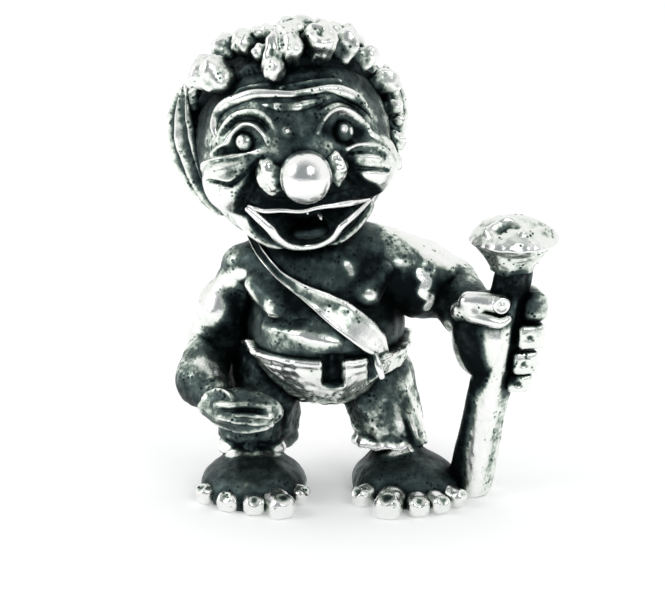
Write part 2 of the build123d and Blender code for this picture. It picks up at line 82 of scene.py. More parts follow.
BELLY = np.array([0, 0, 10.6])
CHEST = reach(BELLY, 3.5, -59, 80.3)
HEAD = reach(CHEST, 8.6, -74.6, 80)
RIGHT_HIP, LEFT_HIP = BELLY + [-3.6, 0, -3.6], BELLY + [3.15, 0, -3.6]
RIGHT_HEM, LEFT_HEM = reach(RIGHT_HIP, 3.9, -59, -71), reach(LEFT_HIP, 3.9, 57, -71)
RIGHT_SHOULDER = reach(CHEST, 4.7, -88.8, 6)
RIGHT_ELBOW = reach(RIGHT_SHOULDER, 5.9, -118, -66)
RIGHT_CUFF = reach(RIGHT_ELBOW, 3.1, -14, -37.5)
RIGHT_WRIST = reach(RIGHT_CUFF, 2.5, 27.6, -16.5)
LEFT_SHOULDER = reach(CHEST, 3.6, 90, 12)
LEFT_ELBOW = reach(LEFT_SHOULDER, 5.4, 100, -22)
LEFT_WRIST = reach(LEFT_ELBOW, 2.9, 24, -16)
LEFT_PALM = reach(LEFT_WRIST, 1.9, 47.5, -31.6)
CLUB_FOOT = np.array([9.2, -2.6, 0])
CLUB_WAY = direction(70, 79.5)
CLUB_NECK = CLUB_FOOT + CLUB_WAY * 14.2
HEAD_TURN, HEAD_LEAN = np.radians(6.6), np.radians(-6)
TURN = np.array([[math.cos(HEAD_TURN), -math.sin(HEAD_TURN), 0],
                 [math.sin(HEAD_TURN), math.cos(HEAD_TURN), 0], [0, 0, 1]])
LEAN = np.array([[math.cos(HEAD_LEAN), 0, math.sin(HEAD_LEAN)], [0, 1, 0],
                 [-math.sin(HEAD_LEAN), 0, math.cos(HEAD_LEAN)]])
HEAD_FRAME = TURN @ LEAN
print("head at", HEAD.round(2), "palm at", LEFT_PALM.round(2), "club neck at", CLUB_NECK.round(2))


def in_head(shapes):
    """Skins made in the head's own frame, turned and carried to the head's place."""
    return [(HEAD + points @ HEAD_FRAME.T, quads, fans) for points, quads, fans in shapes]

# %% [markdown]
# Fields.
# Soft lumpy forms are hard to draw point by point. It is easier to say, for any point of space, how far it is from
# the form: a field, negative inside. Fields can be melted together, as wax is, or carved out of each other.

# %% Fields for balls, eggs, bars and blocks
def ball(points, middle, radius):
    """Distance to the middle, less the radius."""
    return np.linalg.norm(points - middle, axis=-1) - radius


def seen_from(points, middle, turn):
    """The points as seen from a middle that is turned about Z by so many degrees."""
    turn = np.radians(turn)
    place = points - middle
    across = place[..., 0] * math.cos(turn) + place[..., 1] * math.sin(turn)
    along = place[..., 1] * math.cos(turn) - place[..., 0] * math.sin(turn)
    return np.stack([across, along, place[..., 2]], axis=-1)


def egg(points, middle, radii, turn=0.0):
    """A ball stretched by three radii and turned about Z: near enough its distance is k(k-1)/g, where k is the length
    of the point over the radii, and g that of the point over their squares."""
    place = seen_from(points, middle, turn)
    radii = np.array(radii)
    k = np.linalg.norm(place / radii, axis=-1)
    g = np.linalg.norm(place / radii ** 2, axis=-1)
    return k * (k - 1) / np.maximum(g, 1e-9)


def bar(points, start, end, start_radius, end_radius):
    """A round bar: the distance to the nearest place on its line, less a radius that changes evenly along it."""
    start, end = np.asarray(start, float), np.asarray(end, float)
    run = end - start
    share = np.clip((points - start) @ run / (run @ run), 0, 1)
    radius = start_radius + share * (end_radius - start_radius)
    return np.linalg.norm(points - start - share[..., None] * run, axis=-1) - radius


def block(points, middle, halves, corner, turn=0.0):
    """A block with rounded corners, turned about Z: the distance outside its inner box, less the corner's radius."""
    beyond = np.abs(seen_from(points, middle, turn)) - (np.array(halves) - corner)
    return np.linalg.norm(np.maximum(beyond, 0), axis=-1) + np.minimum(beyond.max(axis=-1), 0) - corner


def melt(first, second, width):
    """Two forms as one, with a fillet as wide as width where they meet."""
    share = np.clip(0.5 + 0.5 * (second - first) / width, 0, 1)
    return second + (first - second) * share - width * share * (1 - share)


def carve(form, tool, width):
    """The tool taken out of the form, with a rounded edge as wide as width."""
    return -melt(-form, tool, width)

# %% [markdown]
# Rays and skins.
# A field only says where a form is. Its surface is found by walking inwards along a grid of rays, all at once, until
# the field is zero. The rays leave one place, for a head or a knob, or a curved line, for a limb. The grid's two
# parameters are the turn round the form and the way along it, so the skin is closed quads with a point at each end.

# %% Rays round a place or along a line
def trail(places, count):
    """A smooth line through the places: between two of them it is the cubic that leaves and arrives along the chords
    of their neighbours (Catmull-Rom)."""
    places = np.asarray(places, float)
    padded = np.vstack([2 * places[0] - places[1], places, 2 * places[-1] - places[-2]])
    share = np.linspace(0, len(places) - 1, count)
    index = np.minimum(share.astype(int), len(places) - 2)
    t = (share - index)[:, None]
    a, b, c, d = (padded[index + i] for i in range(4))
    return 0.5 * (2 * b + (c - a) * t + (2 * a - 5 * b + 4 * c - d) * t ** 2 + (3 * b - a - 3 * c + d) * t ** 3)


def turns(columns, gather):
    """Turns round a form, evenly spaced, then pulled towards zero by gather times their sine."""
    even = np.arange(columns) / columns * 2 * np.pi - np.pi
    return even - gather * np.sin(even)


def globe(middle, columns, rows, axis=(0, 0, 1), front=(0, -1, 0), gather=0.0, level=0.0):
    """Rays from one place to all sides, in rows from one pole of the axis to the other. Columns gather at the front,
    and rows gather at the level of the equator."""
    axis, front = unit(np.array(axis, float)), np.array(front, float)
    ahead = unit(front - axis * (front @ axis))
    side = np.cross(axis, ahead)
    even = np.linspace(-np.pi / 2, np.pi / 2, rows)
    lean = (even - level * np.sin(2 * even))[:, None, None]
    turn = turns(columns, gather)[None, :, None]
    ways = np.cos(lean) * (np.cos(turn) * ahead + np.sin(turn) * side) + np.sin(lean) * axis
    return np.broadcast_to(np.asarray(middle, float), ways.shape), ways


def along_line(path, front):
    """The tangent of a line at each of its places, and two ways square to it: ahead, nearest to front, and side."""
    tangent = unit(np.gradient(path, axis=0))
    front = np.array(front, float)
    ahead = unit(front - tangent * (tangent @ front)[:, None])
    return tangent, ahead, np.cross(tangent, ahead)


def sleeve(places, columns, side_rows, cap_rows, front=(0, -1, 0), gather=0.0):
    """Rays square to a smooth line through the places, with a fan of half a globe at each of its ends."""
    path = trail(places, side_rows)
    tangent, ahead, side = along_line(path, front)
    lean = np.concatenate([np.linspace(-np.pi / 2, 0, cap_rows, endpoint=False), np.zeros(side_rows),
                           np.linspace(np.pi / 2, 0, cap_rows, endpoint=False)[::-1]])[:, None, None]
    row = np.concatenate([np.zeros(cap_rows, int), np.arange(side_rows), np.full(cap_rows, side_rows - 1)])
    turn = turns(columns, gather)[None, :, None]
    ring = np.cos(turn) * ahead[row][:, None] + np.sin(turn) * side[row][:, None]
    ways = np.cos(lean) * ring + np.sin(lean) * tangent[row][:, None]
    return np.broadcast_to(path[row][:, None], ways.shape), ways

# %% Skins on a grid
def skin(rings):
    """A closed surface on a grid of rings: four-cornered faces between rings, and a fan to one point at each end,
    which is where the first and the last ring shrink to. It is turned outwards if its volume comes out negative."""
    rows, columns = rings.shape[0] - 2, rings.shape[1]
    points = np.vstack([rings[1:-1].reshape(-1, 3), rings[0].mean(0), rings[-1].mean(0)])
    row, column = np.meshgrid(np.arange(rows - 1), np.arange(columns), indexing="ij")
    here, beside = row * columns + column, row * columns + (column + 1) % columns
    quads = np.stack([here, beside, beside + columns, here + columns], axis=-1).reshape(-1, 4)
    first = np.arange(columns)
    after = (first + 1) % columns
    foot, top, last = rows * columns, rows * columns + 1, (rows - 1) * columns
    fans = np.vstack([np.stack([after, first, np.full(columns, foot)], axis=-1),
                      np.stack([first + last, after + last, np.full(columns, top)], axis=-1)])
    a, b, c, d = (points[quads[:, i]] for i in range(4))
    volume = (np.cross(c - a, d - b) * (a + b + c + d)).sum()
    if volume < 0:
        quads, fans = quads[:, ::-1], fans[:, ::-1]
    return points, quads, fans


STEPS, STEP_SHARE = 40, 0.9


def cast(field, rays, far, steps=STEPS):
    """Walks inwards along every ray at once, each step nine tenths of the field's value, and gives the distance at
    which the field is zero. Rays that run close along a wall need more steps."""
    starts, ways = rays
    distance = np.full(ways.shape[:-1], float(far))
    for _ in range(steps):
        distance = np.maximum(distance - STEP_SHARE * field(starts + ways * distance[..., None]), 0)
    return distance


def surface(field, rays, far, relief=None, steps=STEPS):
    """The skin of a field, with relief added along the rays."""
    starts, ways = rays
    distance = cast(field, rays, far, steps)
    if relief is not None:
        distance = distance + relief(starts + ways * distance[..., None])
    return skin(starts + ways * distance[..., None])

# %% [markdown]
# Relief.
# Wrinkles, folds and creases are strokes of a tool over the wax: each is a smooth line with a width and a height,
# raised or pressed. Under them lies the unevenness of anything modelled by hand, which is a soft noise.

# %% Soft noise and strokes
LATTICE = 16


def lumps(points, size, seed):
    """Soft noise from -1 to 1: random numbers at the corners of a lattice of this size, blended from corner to corner
    by 3t² - 2t³. The lattice repeats after 16 cells."""
    lattice = np.random.default_rng(seed).uniform(-1, 1, (LATTICE,) * 3)
    place = points / size
    cell = np.floor(place).astype(int)
    share = place - cell
    share = share * share * (3 - 2 * share)
    total = 0
    for corner in itertools.product((0, 1), repeat=3):
        weight = np.where(corner, share, 1 - share).prod(axis=-1)
        x, y, z = np.moveaxis((cell + corner) % LATTICE, -1, 0)
        total = total + weight * lattice[x, y, z]
    return total


def waxy(points, seed, *layers):
    """Unevenness of hand-worked wax: for each layer (height, size), its height times soft noise of that size. Each
    layer takes the next seed."""
    return sum(height * lumps(points, size, seed + i) for i, (height, size) in enumerate(layers))


def stroke(points, places, width, height, taper=0.15):
    """A ridge along a smooth line, or a groove where height is negative: height times e to the power of minus the
    square of distance over width, fading out over a share of the line at its two ends."""
    path = trail(places, 8 * len(places))
    flat = points.reshape(-1, 3)
    near = np.nonzero(np.all((flat > path.min(0) - 3 * width) & (flat < path.max(0) + 3 * width), axis=1))[0]
    spots = flat[near]
    nearest = np.full(len(spots), 1e9)
    where = np.zeros(len(spots))
    for i, (start, end) in enumerate(zip(path[:-1], path[1:])):
        run = end - start
        share = np.clip((spots - start) @ run / (run @ run + 1e-12), 0, 1)
        distance = ((spots - start - share[:, None] * run) ** 2).sum(axis=1)
        closer = distance < nearest
        nearest[closer] = distance[closer]
        where[closer] = (i + share[closer]) / (len(path) - 1)
    fade = np.clip(np.minimum(where, 1 - where) / taper, 0, 1) ** 0.5 if taper else 1.0
    result = np.zeros(len(flat))
    result[near] = height * np.exp(-nearest / width ** 2) * fade
    return result.reshape(points.shape[:-1])


def dot(points, place, width, height):
    """A round bump or dimple: height times e to the power of minus the square of distance over width."""
    return height * np.exp(-((points - np.asarray(place)) ** 2).sum(axis=-1) / width ** 2)


TUBE_PLACES = 200


def tube(places, widths, columns, rows, front=(0, -1, 0), flat=1.0):
    """A round or flattened rod along a smooth line. Its ends close like a ball: there the width is multiplied by the
    square root of 1 minus the square of the way into the end. flat is its thickness towards the front over its
    width."""
    share = 0.5 - 0.5 * np.cos(np.linspace(0, np.pi, rows))
    fine = trail(places, TUBE_PLACES)
    path = np.stack([np.interp(share, np.linspace(0, 1, TUBE_PLACES), fine[:, i]) for i in range(3)], axis=-1)
    run = np.concatenate([[0], np.cumsum(np.linalg.norm(np.diff(path, axis=0), axis=1))])
    radius = np.interp(share, np.linspace(0, 1, len(widths)), widths) / 2
    into = np.clip(1 - np.minimum(run, run[-1] - run) / radius, 0, 1)
    radius = radius * np.sqrt(np.maximum(1 - into ** 2, 0))
    tangent, ahead, side = along_line(path, front)
    turn = turns(columns, 0)[None, :, None]
    ring = np.cos(turn) * ahead[:, None] * flat + np.sin(turn) * side[:, None]
    return skin(path[:, None] + ring * radius[:, None, None])


pieces = {}


def piece(name, slot, nodes, shapes, marks=()):
    """Keeps one piece: its skins joined into one list of points and faces, its slot and the CAD nodes it stands for.
    Marks make its skins darker or, negative, brighter: one for each skin, a number or a function of the points."""
    points, quads, fans, rubs_and_glints, count = [], [], [], [], 0
    for (shape_points, shape_quads, shape_fans), mark in itertools.zip_longest(shapes, marks, fillvalue=0.0):
        rubs_and_glints.append(mark(shape_points) if callable(mark) else np.full(len(shape_points), mark))
        points.append(shape_points)
        quads.append(shape_quads + count)
        fans.append(shape_fans + count)
        count += len(shape_points)
    pieces[name] = {"points": np.vstack(points), "quads": np.vstack(quads), "fans": np.vstack(fans),
                    "slot": slot, "nodes": nodes, "marks": np.concatenate(rubs_and_glints)}
    print(name, "triangles", 2 * len(pieces[name]["quads"]) + len(pieces[name]["fans"]),
          "low", pieces[name]["points"].min(0).round(2), "high", pieces[name]["points"].max(0).round(2))

# %% [markdown]
# The body.
# Belly, chest, yoke of the shoulders and neck are one soft form, fat at the belly. The skin is found along rays from
# the spine. A hard fold lies between breast and belly, and the two breasts hang a little.

# %% Torso
TORSO_FAR = 9
NECK_WAY = HEAD - CHEST
BREASTS = (((-4.3, -2.7, 13.9), (-2.95, -3.6, 12.95)), ((3.6, -2.4, 14.7), (2.5, -3.2, 13.6)))


def torso_field(points):
    """Belly, chest, yoke and neck melted together, with a breast at each side."""
    form = melt(egg(points, BELLY, (5.15, 5.3, 4.6)), egg(points, CHEST, (4.7, 4.0, 3.9)), 0.5)
    form = melt(form, bar(points, RIGHT_SHOULDER, LEFT_SHOULDER + [0, 0, 0.3], 1.4, 2.15), 0.8)
    form = melt(form, bar(points, CHEST, CHEST + NECK_WAY * 0.64, 2.3, 2.2), 0.8)
    for upper, lower in BREASTS:
        form = melt(form, bar(points, upper, lower, 0.75, 1.05), 0.4)
    return form


TORSO_STROKES = (
    # places, width, height: the fold and the roll under the right breast, the fold under the left one, the left
    # flank, the belly behind the fly and behind the slit, and two sinews of the neck
    (((-4.9, -1.6, 13.1), (-4.2, -3.4, 12.0), (-2.6, -4.6, 11.85), (-0.8, -4.9, 12.2)), 0.3, -0.32),
    (((-4.0, -3.2, 11.4), (-2.4, -5.0, 11.45), (0.2, -5.3, 11.0), (1.2, -5.2, 10.8)), 0.45, 0.2),
    (((4.1, -1.6, 14.2), (3.8, -3.2, 12.8), (2.6, -3.9, 12.6), (1.6, -3.9, 13.2)), 0.25, -0.22),
    (((4.6, -1.8, 12.0), (4.9, -2.2, 10.6), (5.0, -2.0, 9.4)), 0.5, -0.12),
    (((0.5, -5.3, 10.2), (0.5, -5.2, 8.0)), 0.55, -0.7), (((3.0, -4.4, 9.8), (3.1, -4.2, 8.0)), 0.35, -0.5),
    (((-1.6, -2.9, 17.4), (-0.8, -3.6, 15.6)), 0.3, 0.14), (((0.9, -2.6, 17.4), (0.4, -3.5, 15.8)), 0.3, 0.12),
)


def torso_relief(points):
    """Folds and sinews of the front."""
    change = waxy(points, 3, (0.07, 1.3), (0.04, 0.5))
    for places, width, height in TORSO_STROKES:
        change += stroke(points, places, width, height)
    return change


spine = [(0, 0, 9.0), (-0.3, -0.15, 12.0), CHEST, CHEST + NECK_WAY * 0.55]
piece("torso_skin", "oxidised_silver", ["torso"],
      [surface(torso_field, sleeve(spine, 300, 170, 26, gather=0.35), TORSO_FAR, relief=torso_relief)])

# %% [markdown]
# The head.
# The head is the part people look at: a round skull, a broad muzzle and two apple cheeks, melted together, and then
# worked with strokes. Each stroke is laid on the skull by heading and rise, so that it follows the curve of the face.
# The mouth is a deep hollow between two lines, one nearly straight and one hanging in a bow.

# %% The lump of the head
def skull_field(points):
    """The skull alone: an egg round the head's own origin."""
    return egg(points, (0, 0, 0), (6.1, 6.0, 6.45))


def head_field(points):
    """Skull, muzzle and cheeks melted together, in the head's own frame."""
    form = melt(skull_field(points), bar(points, (-0.85, -2.3, -2.55), (0.85, -2.3, -2.55), 3.35, 3.35), 0.6)
    for side in (-1, 1):
        form = melt(form, ball(points, (side * 3.86, -3.13, -0.95), 2.2), 0.35)
    return form


HEAD_FAR = 12


def on_head(ways, lift=0.0):
    """Places on the head at these headings and rises, lifted off it by lift."""
    rays = direction(*np.array(ways, float).T)
    return rays * (cast(head_field, (np.zeros_like(rays), rays), HEAD_FAR) + lift)[..., None]


def at_head(way, lift):
    """The place at one heading and rise, lifted by lift, in the troll's frame."""
    return HEAD + on_head([way], lift)[0] @ HEAD_FRAME.T


MOUTH_TOP = [(-36, -20), (-32, -23), (-26, -24), (-16, -24), (-4, -26), (6, -25), (17, -25), (29, -26), (44, -28)]
MOUTH_FLOOR = [
    (-36, -21), (-27, -26), (-21, -33), (-18, -40), (-13, -46), (-3, -50), (8, -49), (15, -42), (20, -35), (27, -31),
    (44, -29),
]

MOUTH_DEPTH, LIP_SLOPE = 1.6, 1.5


def hollow(points):
    """How deep the mouth is: full depth where both mouth lines are more than a degree and a half away, none on
    them."""
    heading = np.degrees(np.arctan2(points[..., 0], -points[..., 1]))
    rise = np.degrees(np.arcsin(points[..., 2] / np.linalg.norm(points, axis=-1)))
    top, floor = np.array(MOUTH_TOP, float), np.array(MOUTH_FLOOR, float)
    inside = np.minimum(np.interp(heading, *top.T) - rise, rise - np.interp(heading, *floor.T))
    share = np.clip(inside / LIP_SLOPE, 0, 1) * (heading > MOUTH_TOP[0][0]) * (heading < MOUTH_TOP[-1][0])
    return -MOUTH_DEPTH * share * share * (3 - 2 * share)


# lines of the face that are both raised or pressed and rubbed, as (heading, rise)
FOREHEAD_RIGHT = ((-49, 44), (-42, 47), (-33, 49), (-21, 50))
FOREHEAD_LEFT = ((-10, 47), (8, 48), (22, 48), (42, 44))
LID_LEFT = ((11, 18), (15, 23), (21, 27), (30, 28), (38, 24), (45, 15), (49, 7))
CHEEK_RIGHT = ((-78, -6), (-68, 1), (-58, 4.5), (-48, 7), (-38, 9), (-26, 11))
CHEEK_LEFT = ((27, 5), (36, 6), (43, 4), (48, 0), (51, -7))
DIMPLE = ((-45, -5), (-47.5, -9), (-48.5, -13))
BAG_RIGHT = ((-56, -5), (-48, -5), (-41, -6), (-36, -3), (-29, 4))
BAG_LEFT = ((27, -4), (33, -7), (40, -8), (47, -10))
CHIN_RIGHT = ((-43, -26), (-37, -36), (-29, -46), (-21, -53))
CHIN_LEFT = ((46, -31.5), (41, -39), (33, -48), (25, -53))
JOWL_LEFT = ((51, -31), (54, -38), (47, -48), (34, -57), (20, -60))
FACE_STROKES = (
    # places as (heading, rise), width, height
    (FOREHEAD_RIGHT, 0.13, 0.15),
    (FOREHEAD_LEFT, 0.13, 0.15), (((-30, 53), (0, 54), (30, 53)), 0.25, 0.08),
    (((-57, 14), (-53, 22), (-46, 30), (-35, 33.5), (-25, 33), (-18, 28), (-14, 20)), 0.14, 0.2),
    (((-56, 17), (-49, 24), (-42, 29), (-33, 30), (-25, 28), (-19, 22)), 0.16, -0.3),
    (((-62, 5), (-55, 11), (-49, 14), (-45, 20), (-40, 24), (-35, 26), (-28, 25), (-22, 20), (-19, 13)), 0.15, 0.36),
    (LID_LEFT, 0.16, 0.36),
    (((13, 31), (22, 34), (33, 34), (43, 28), (48, 20)), 0.17, -0.22),
    (CHEEK_RIGHT, 0.15, 0.26),
    (((-60, -1), (-50, 1.5), (-42, 3), (-33, 6)), 0.4, 0.24),
    (BAG_RIGHT, 0.13, -0.34),
    (CHEEK_LEFT, 0.15, 0.28), (((31, 0), (38, -0.5), (44, -4)), 0.3, 0.22),
    (((28, 2), (36, 1.5), (43, -1)), 0.09, -0.22), (BAG_LEFT, 0.14, -0.32),
    (((-25, 6), (-29, -3), (-32, -9), (-36, -15), (-40, -20), (-43, -25)), 0.42, -0.5),
    (((26, 1), (29, -9), (35, -17), (41, -21), (46, -24)), 0.36, -0.45),
    (DIMPLE, 0.06, -0.2),
    (CHIN_RIGHT, 0.34, -0.6),
    (CHIN_LEFT, 0.3, -0.55),
    (((-56, -32), (-50, -42), (-40, -51), (-26, -57)), 0.22, 0.2),
    (JOWL_LEFT, 0.18, 0.26),
    (((-30, -19), (-16, -19.5), (0, -22), (12, -21), (28, -21), (38, -23)), 0.24, -0.25),
)
EYES = {"right": (-37, 16), "left": (30, 15.5)}
# the teeth: two bumps in the mouth; further down each also gets a painted glint, a bright spot in the oxide
TEETH_WITH_PAINTED_GLINTS = ((0, -34), (10, -39))
FACE_DOTS = (
    # (heading, rise), width, height: the eye sockets, a wart between the brows, the root of the nose, the teeth
    *((place, 0.95, -0.66) for place in EYES.values()),
    ((-7, 21), 0.22, 0.42), ((0, 4), 1.3, 0.35),
    *((place, 0.3, 0.9) for place in TEETH_WITH_PAINTED_GLINTS),
)


def head_relief(points):
    """Mouth, eye sockets, strokes and the unevenness of the wax."""
    change = hollow(points) + waxy(points, 11, (0.05, 1.1), (0.025, 0.4))
    for place, width, height in FACE_DOTS:
        change += dot(points, on_head([place])[0], width, height)
    for ways, width, height in FACE_STROKES:
        change += stroke(points, on_head(ways), width, height)
    return change


piece("head_skin", "cast_silver", ["head"],
      in_head([surface(head_field, globe((0, 0, 0), 340, 280, gather=0.6, level=0.2), HEAD_FAR, relief=head_relief)]))

# %% [markdown]
# Nose, brow, lips and eyes.
# These stand out furthest, so the buff reaches them first and they are the brightest. A wax worker rolls them and
# lays them on: a ball with two wings, a bent roll over both eyes, and a thin roll round the mouth.
# The eyeballs stay dark, and the glints on them are painted highlights.

# %% Nose
NOSE = (0, -6.62, -0.5)


def nose_field(points):
    """A ball, a little flat where it meets the face."""
    return egg(points, NOSE, (1.58, 1.6, 1.64))


def nose_relief(points):
    """All but smooth."""
    return 0.012 * lumps(points, 0.8, 22)


def wing_relief(points):
    """Lumps on the wings."""
    return 0.14 * lumps(points, 0.5, 21) + 0.06 * lumps(points, 0.25, 23)


wings = []
for side, tall, wide in ((-1, 1.3, 0.95), (1, 1.15, 0.8)):
    middle = np.array([side * 1.9, -5.25, -0.4])

    def wing_field(points, middle=middle, tall=tall, wide=wide):
        """An upright egg beside the ball."""
        return egg(points, middle, (wide, 0.95, tall))

    wings.append(surface(wing_field, globe(middle, 64, 48), far=3, relief=wing_relief))
piece("nose_skin", "polished_silver", ["nose"],
      in_head([surface(nose_field, globe(NOSE, 120, 90), far=3, relief=nose_relief)] + wings), (0.0, 0.5, 0.5))

# %% Brow, lips, tongue and eyeballs
BROW = [
    (-57, 17), (-60, 23), (-59, 30), (-54, 36), (-44, 40), (-31, 43.5), (-16, 43.5), (-1, 42), (13, 42), (28, 41),
    (38, 37), (46, 31), (50, 25), (53, 17),
]
BROW_WIDTHS = (0.25, 0.6, 0.8, 0.84, 0.76, 0.64, 0.52, 0.5, 0.56, 0.8, 0.82, 0.56, 0.2)
BROW_EDGE = [(-28, 38), (-16, 36.5), (-7, 35), (7, 35), (17, 36), (27, 38)]
piece("brow_skin", "polished_silver", ["brow"], in_head([
    tube(on_head(BROW, 0.02), BROW_WIDTHS, 28, 150, flat=0.8),
    tube(on_head(BROW_EDGE, -0.1), (0.12, 0.6, 0.75, 0.6, 0.12), 18, 60)]),
      (lambda points: 0.34 + 0.3 * lumps(points, 0.7, 25), lambda points: 0.42 + 0.4 * lumps(points, 0.4, 26)))

# painted highlights: for each eyeball, the (heading, rise) of its glints, which are painted bright in the oxide
PAINTED_GLINTS = {"right": ((-39, 17),), "left": ((28, 17), (33.5, 14.5))}
LOWER_LIP = [
    (-37, -20.5), (-31, -28), (-25, -34), (-22, -41), (-16, -49), (-5, -54), (9, -53), (17, -46), (21, -38),
    (30, -33.5), (45, -28.5),
]
piece("lips_skin", "polished_silver", ["lips"], in_head([
    tube(on_head(LOWER_LIP, 0.1), (0.32, 0.56, 0.6, 0.56, 0.52, 0.5, 0.48, 0.46, 0.46, 0.44, 0.2), 20, 130),
    tube(on_head(MOUTH_TOP, 0.06), (0.15, 0.3, 0.32, 0.28, 0.28, 0.34, 0.46, 0.2), 16, 100)]),
      (lambda points: 0.08 + 0.3 * lumps(points, 0.45, 24),) * 2)

TONGUE = (0.1, -4.2, -4.5)


def tongue_field(points):
    """A flattened egg that lies on the mouth's floor."""
    return egg(points, TONGUE, (1.4, 0.9, 0.5))


def tongue_relief(points):
    """The groove along it."""
    return stroke(points, [(0, -5.5, -4.2), (0.1, -4, -3.7)], 0.2, -0.12)


piece("tongue_skin", "oxidised_silver", ["tongue"],
      in_head([surface(tongue_field, globe(TONGUE, 60, 40), far=3, relief=tongue_relief)]))


def eyeball(side, radius):
    """A ball sunk in its socket, with a small pit where it looks out, and the function that paints its glints:
    highlight spots made bright in its oxide.
    """
    middle = on_head([EYES[side]], -0.55)[0]
    gaze = middle + unit(middle) * radius

    def field(points):
        return ball(points, middle, radius)

    def relief(points):
        return dot(points, gaze, 0.16, -0.07)

    def mark(points):
        # painted glints: bright highlight spots where the lamps would shine on the eye
        return sum(dot(points, at_head(way, 0.12), 0.2, -1.2) for way in PAINTED_GLINTS[side])

    return surface(field, globe(middle, 64, 48, axis=middle), far=2, relief=relief), mark


for side, radius in (("right", 0.64), ("left", 0.72)):
    ball_skin, ball_glint_paint = eyeball(side, radius)
    piece(f"{side}_eyeball", "oxidised_silver", [f"{side}_eye"], in_head([ball_skin]), (ball_glint_paint,))

# %% [markdown]
# Hair and ears.
# Curly hair on so small a casting is a dark cap with chunky locks on it: each is a squarish nugget with a flat bright
# top and grooves for its strands. The locks over the forehead are placed one by one, and those behind stand in rows
# that are shifted and turned a little by seeded random numbers, as curls are.

# %% Cap of hair
HAIR_TILT, HAIRLINE = np.radians(38.7), 3.1


def scalp_field(points):
    """The skull, raised behind the hairline, which is a tilted plane, and sunk in front of it."""
    behind = points[..., 1] * math.sin(HAIR_TILT) + (points[..., 2] - HAIRLINE) * math.cos(HAIR_TILT)
    share = np.clip(behind / 0.5 + 0.5, 0, 1)
    return skull_field(points) + 0.5 - 0.85 * share


def scalp_relief(points):
    """Strands between the locks."""
    return waxy(points, 31, (0.14, 0.7), (0.06, 0.3))


FRONT_LOCKS = (
    # heading, rise, width, height, thickness, turn
    (-77, 49, 3.1, 2.2, 1.9, 6), (-108, 60, 2.1, 1.9, 1.5, -10), (-62, 71, 1.3, 1.4, 1.6, 15),
    (-50, 80, 1.9, 1.0, 1.4, 40), (-13, 62, 1.3, 2.8, 1.7, -10), (0, 68, 1.7, 2.3, 1.9, 10),
    (-28, 66, 1.3, 0.9, 1.4, 30), (40, 66, 1.9, 2.0, 1.9, 5), (66, 59, 1.4, 2.1, 1.8, -5), (84, 47, 1.2, 1.3, 1.6, 0),
    (98, 56, 1.6, 1.7, 1.4, 0), (80, 80, 1.7, 1.4, 1.4, 0), (20, 80, 1.6, 1.3, 1.5, 20), (100, 66, 1.7, 1.6, 1.3, 10),
    (88, 29, 1.2, 1.4, 1.3, 0), (98, 20, 1.1, 1.4, 1.2, 0), (-98, 33, 1.2, 1.6, 1.2, 12),
    (-104, 20, 1.0, 1.4, 1.0, 0), (88, 14, 0.8, 1.1, 0.9, 0), (86, 5, 0.8, 1.1, 0.9, 10), (84, -5, 0.8, 1.1, 0.9, 0),
    (82, -14, 0.9, 1.0, 0.9, 0),
)
# rise, heading of the first lock, number of locks
ROWS = ((84, 90, 3), (70, 110, 4), (55, 122, 7), (40, 116, 9), (25, 114, 9), (10, 118, 9), (-5, 128, 8), (-20, 140, 6))

STRAND_WIDTH = 0.62


def lock(heading, rise, width, height, thickness, turn, seed):
    """A squarish nugget on the skull: its field is k - 1 times its smallest radius, k being the cube root of the sum
    of the third powers of the point over its radii. Strands are a cosine across it, bent by the square of the way
    along."""
    root, out = direction(heading, rise), direction(heading, rise - 18)
    side = unit(np.cross([0, 0, 1], out))
    up = np.cross(out, side)
    turn = math.radians(turn)
    side, up = side * math.cos(turn) + up * math.sin(turn), up * math.cos(turn) - side * math.sin(turn)
    axes = np.stack([side, up, out])
    radii = np.array([width, height, thickness * 1.6]) / 2
    middle = root * (cast(skull_field, (np.zeros((1, 3)), root[None]), HEAD_FAR)[0] + 0.3 * thickness)

    def field(points):
        """The squarish egg."""
        place = (points - middle) @ axes.T / radii
        return ((np.abs(place) ** 3).sum(axis=-1) ** (1 / 3) - 1) * radii.min()

    def relief(points):
        """Strands and dents."""
        place = (points - middle) @ axes.T
        strands = np.cos(2 * np.pi * (place[..., 0] + 0.35 * place[..., 1] ** 2 + 0.1 * seed) / STRAND_WIDTH)
        return 0.06 * strands + 0.34 * lumps(points, 0.85, 40 + seed) + 0.1 * lumps(points, 0.35, 90 + seed)

    return surface(field, globe(middle, 56, 34, axis=out, front=up), far=3, relief=relief)


chance = np.random.default_rng(5)
locks = [lock(*values, seed) for seed, values in enumerate(FRONT_LOCKS)]
for rise, first, count in ROWS:
    last = 360 - first - (360 / count if rise > 80 else 0)
    for i in range(count):
        heading = first + (last - first) * i / (count - 1) + chance.uniform(-4, 4)
        locks.append(lock(heading, rise + chance.uniform(-3, 3), chance.uniform(1.7, 2.5), chance.uniform(1.5, 2.2),
                          chance.uniform(0.9, 1.3), chance.uniform(-60, 60), len(locks)))
cap = surface(scalp_field, globe((0, 0, 0), 220, 140), HEAD_FAR, relief=scalp_relief)
piece("hair_locks", "cast_silver", ["hair"], in_head([cap] + locks), (0.5,))

# %% Ears
EAR_ROWS = 90
EAR_LINES = {
    # places from the lobe up to the tip, half width
    "right": ([(-5.1, 0.3, -4.1), (-6.0, 0.7, -2.4), (-6.75, 1.0, 0.4), (-6.8, 1.1, 2.6), (-6.3, 0.9, 4.5)], 1.55),
    "left": ([(5.7, 0.6, -2.6), (6.3, 0.9, -0.8), (6.6, 1.1, 1.0), (6.6, 1.2, 2.6), (6.3, 1.1, 4.1)], 1.25),
}


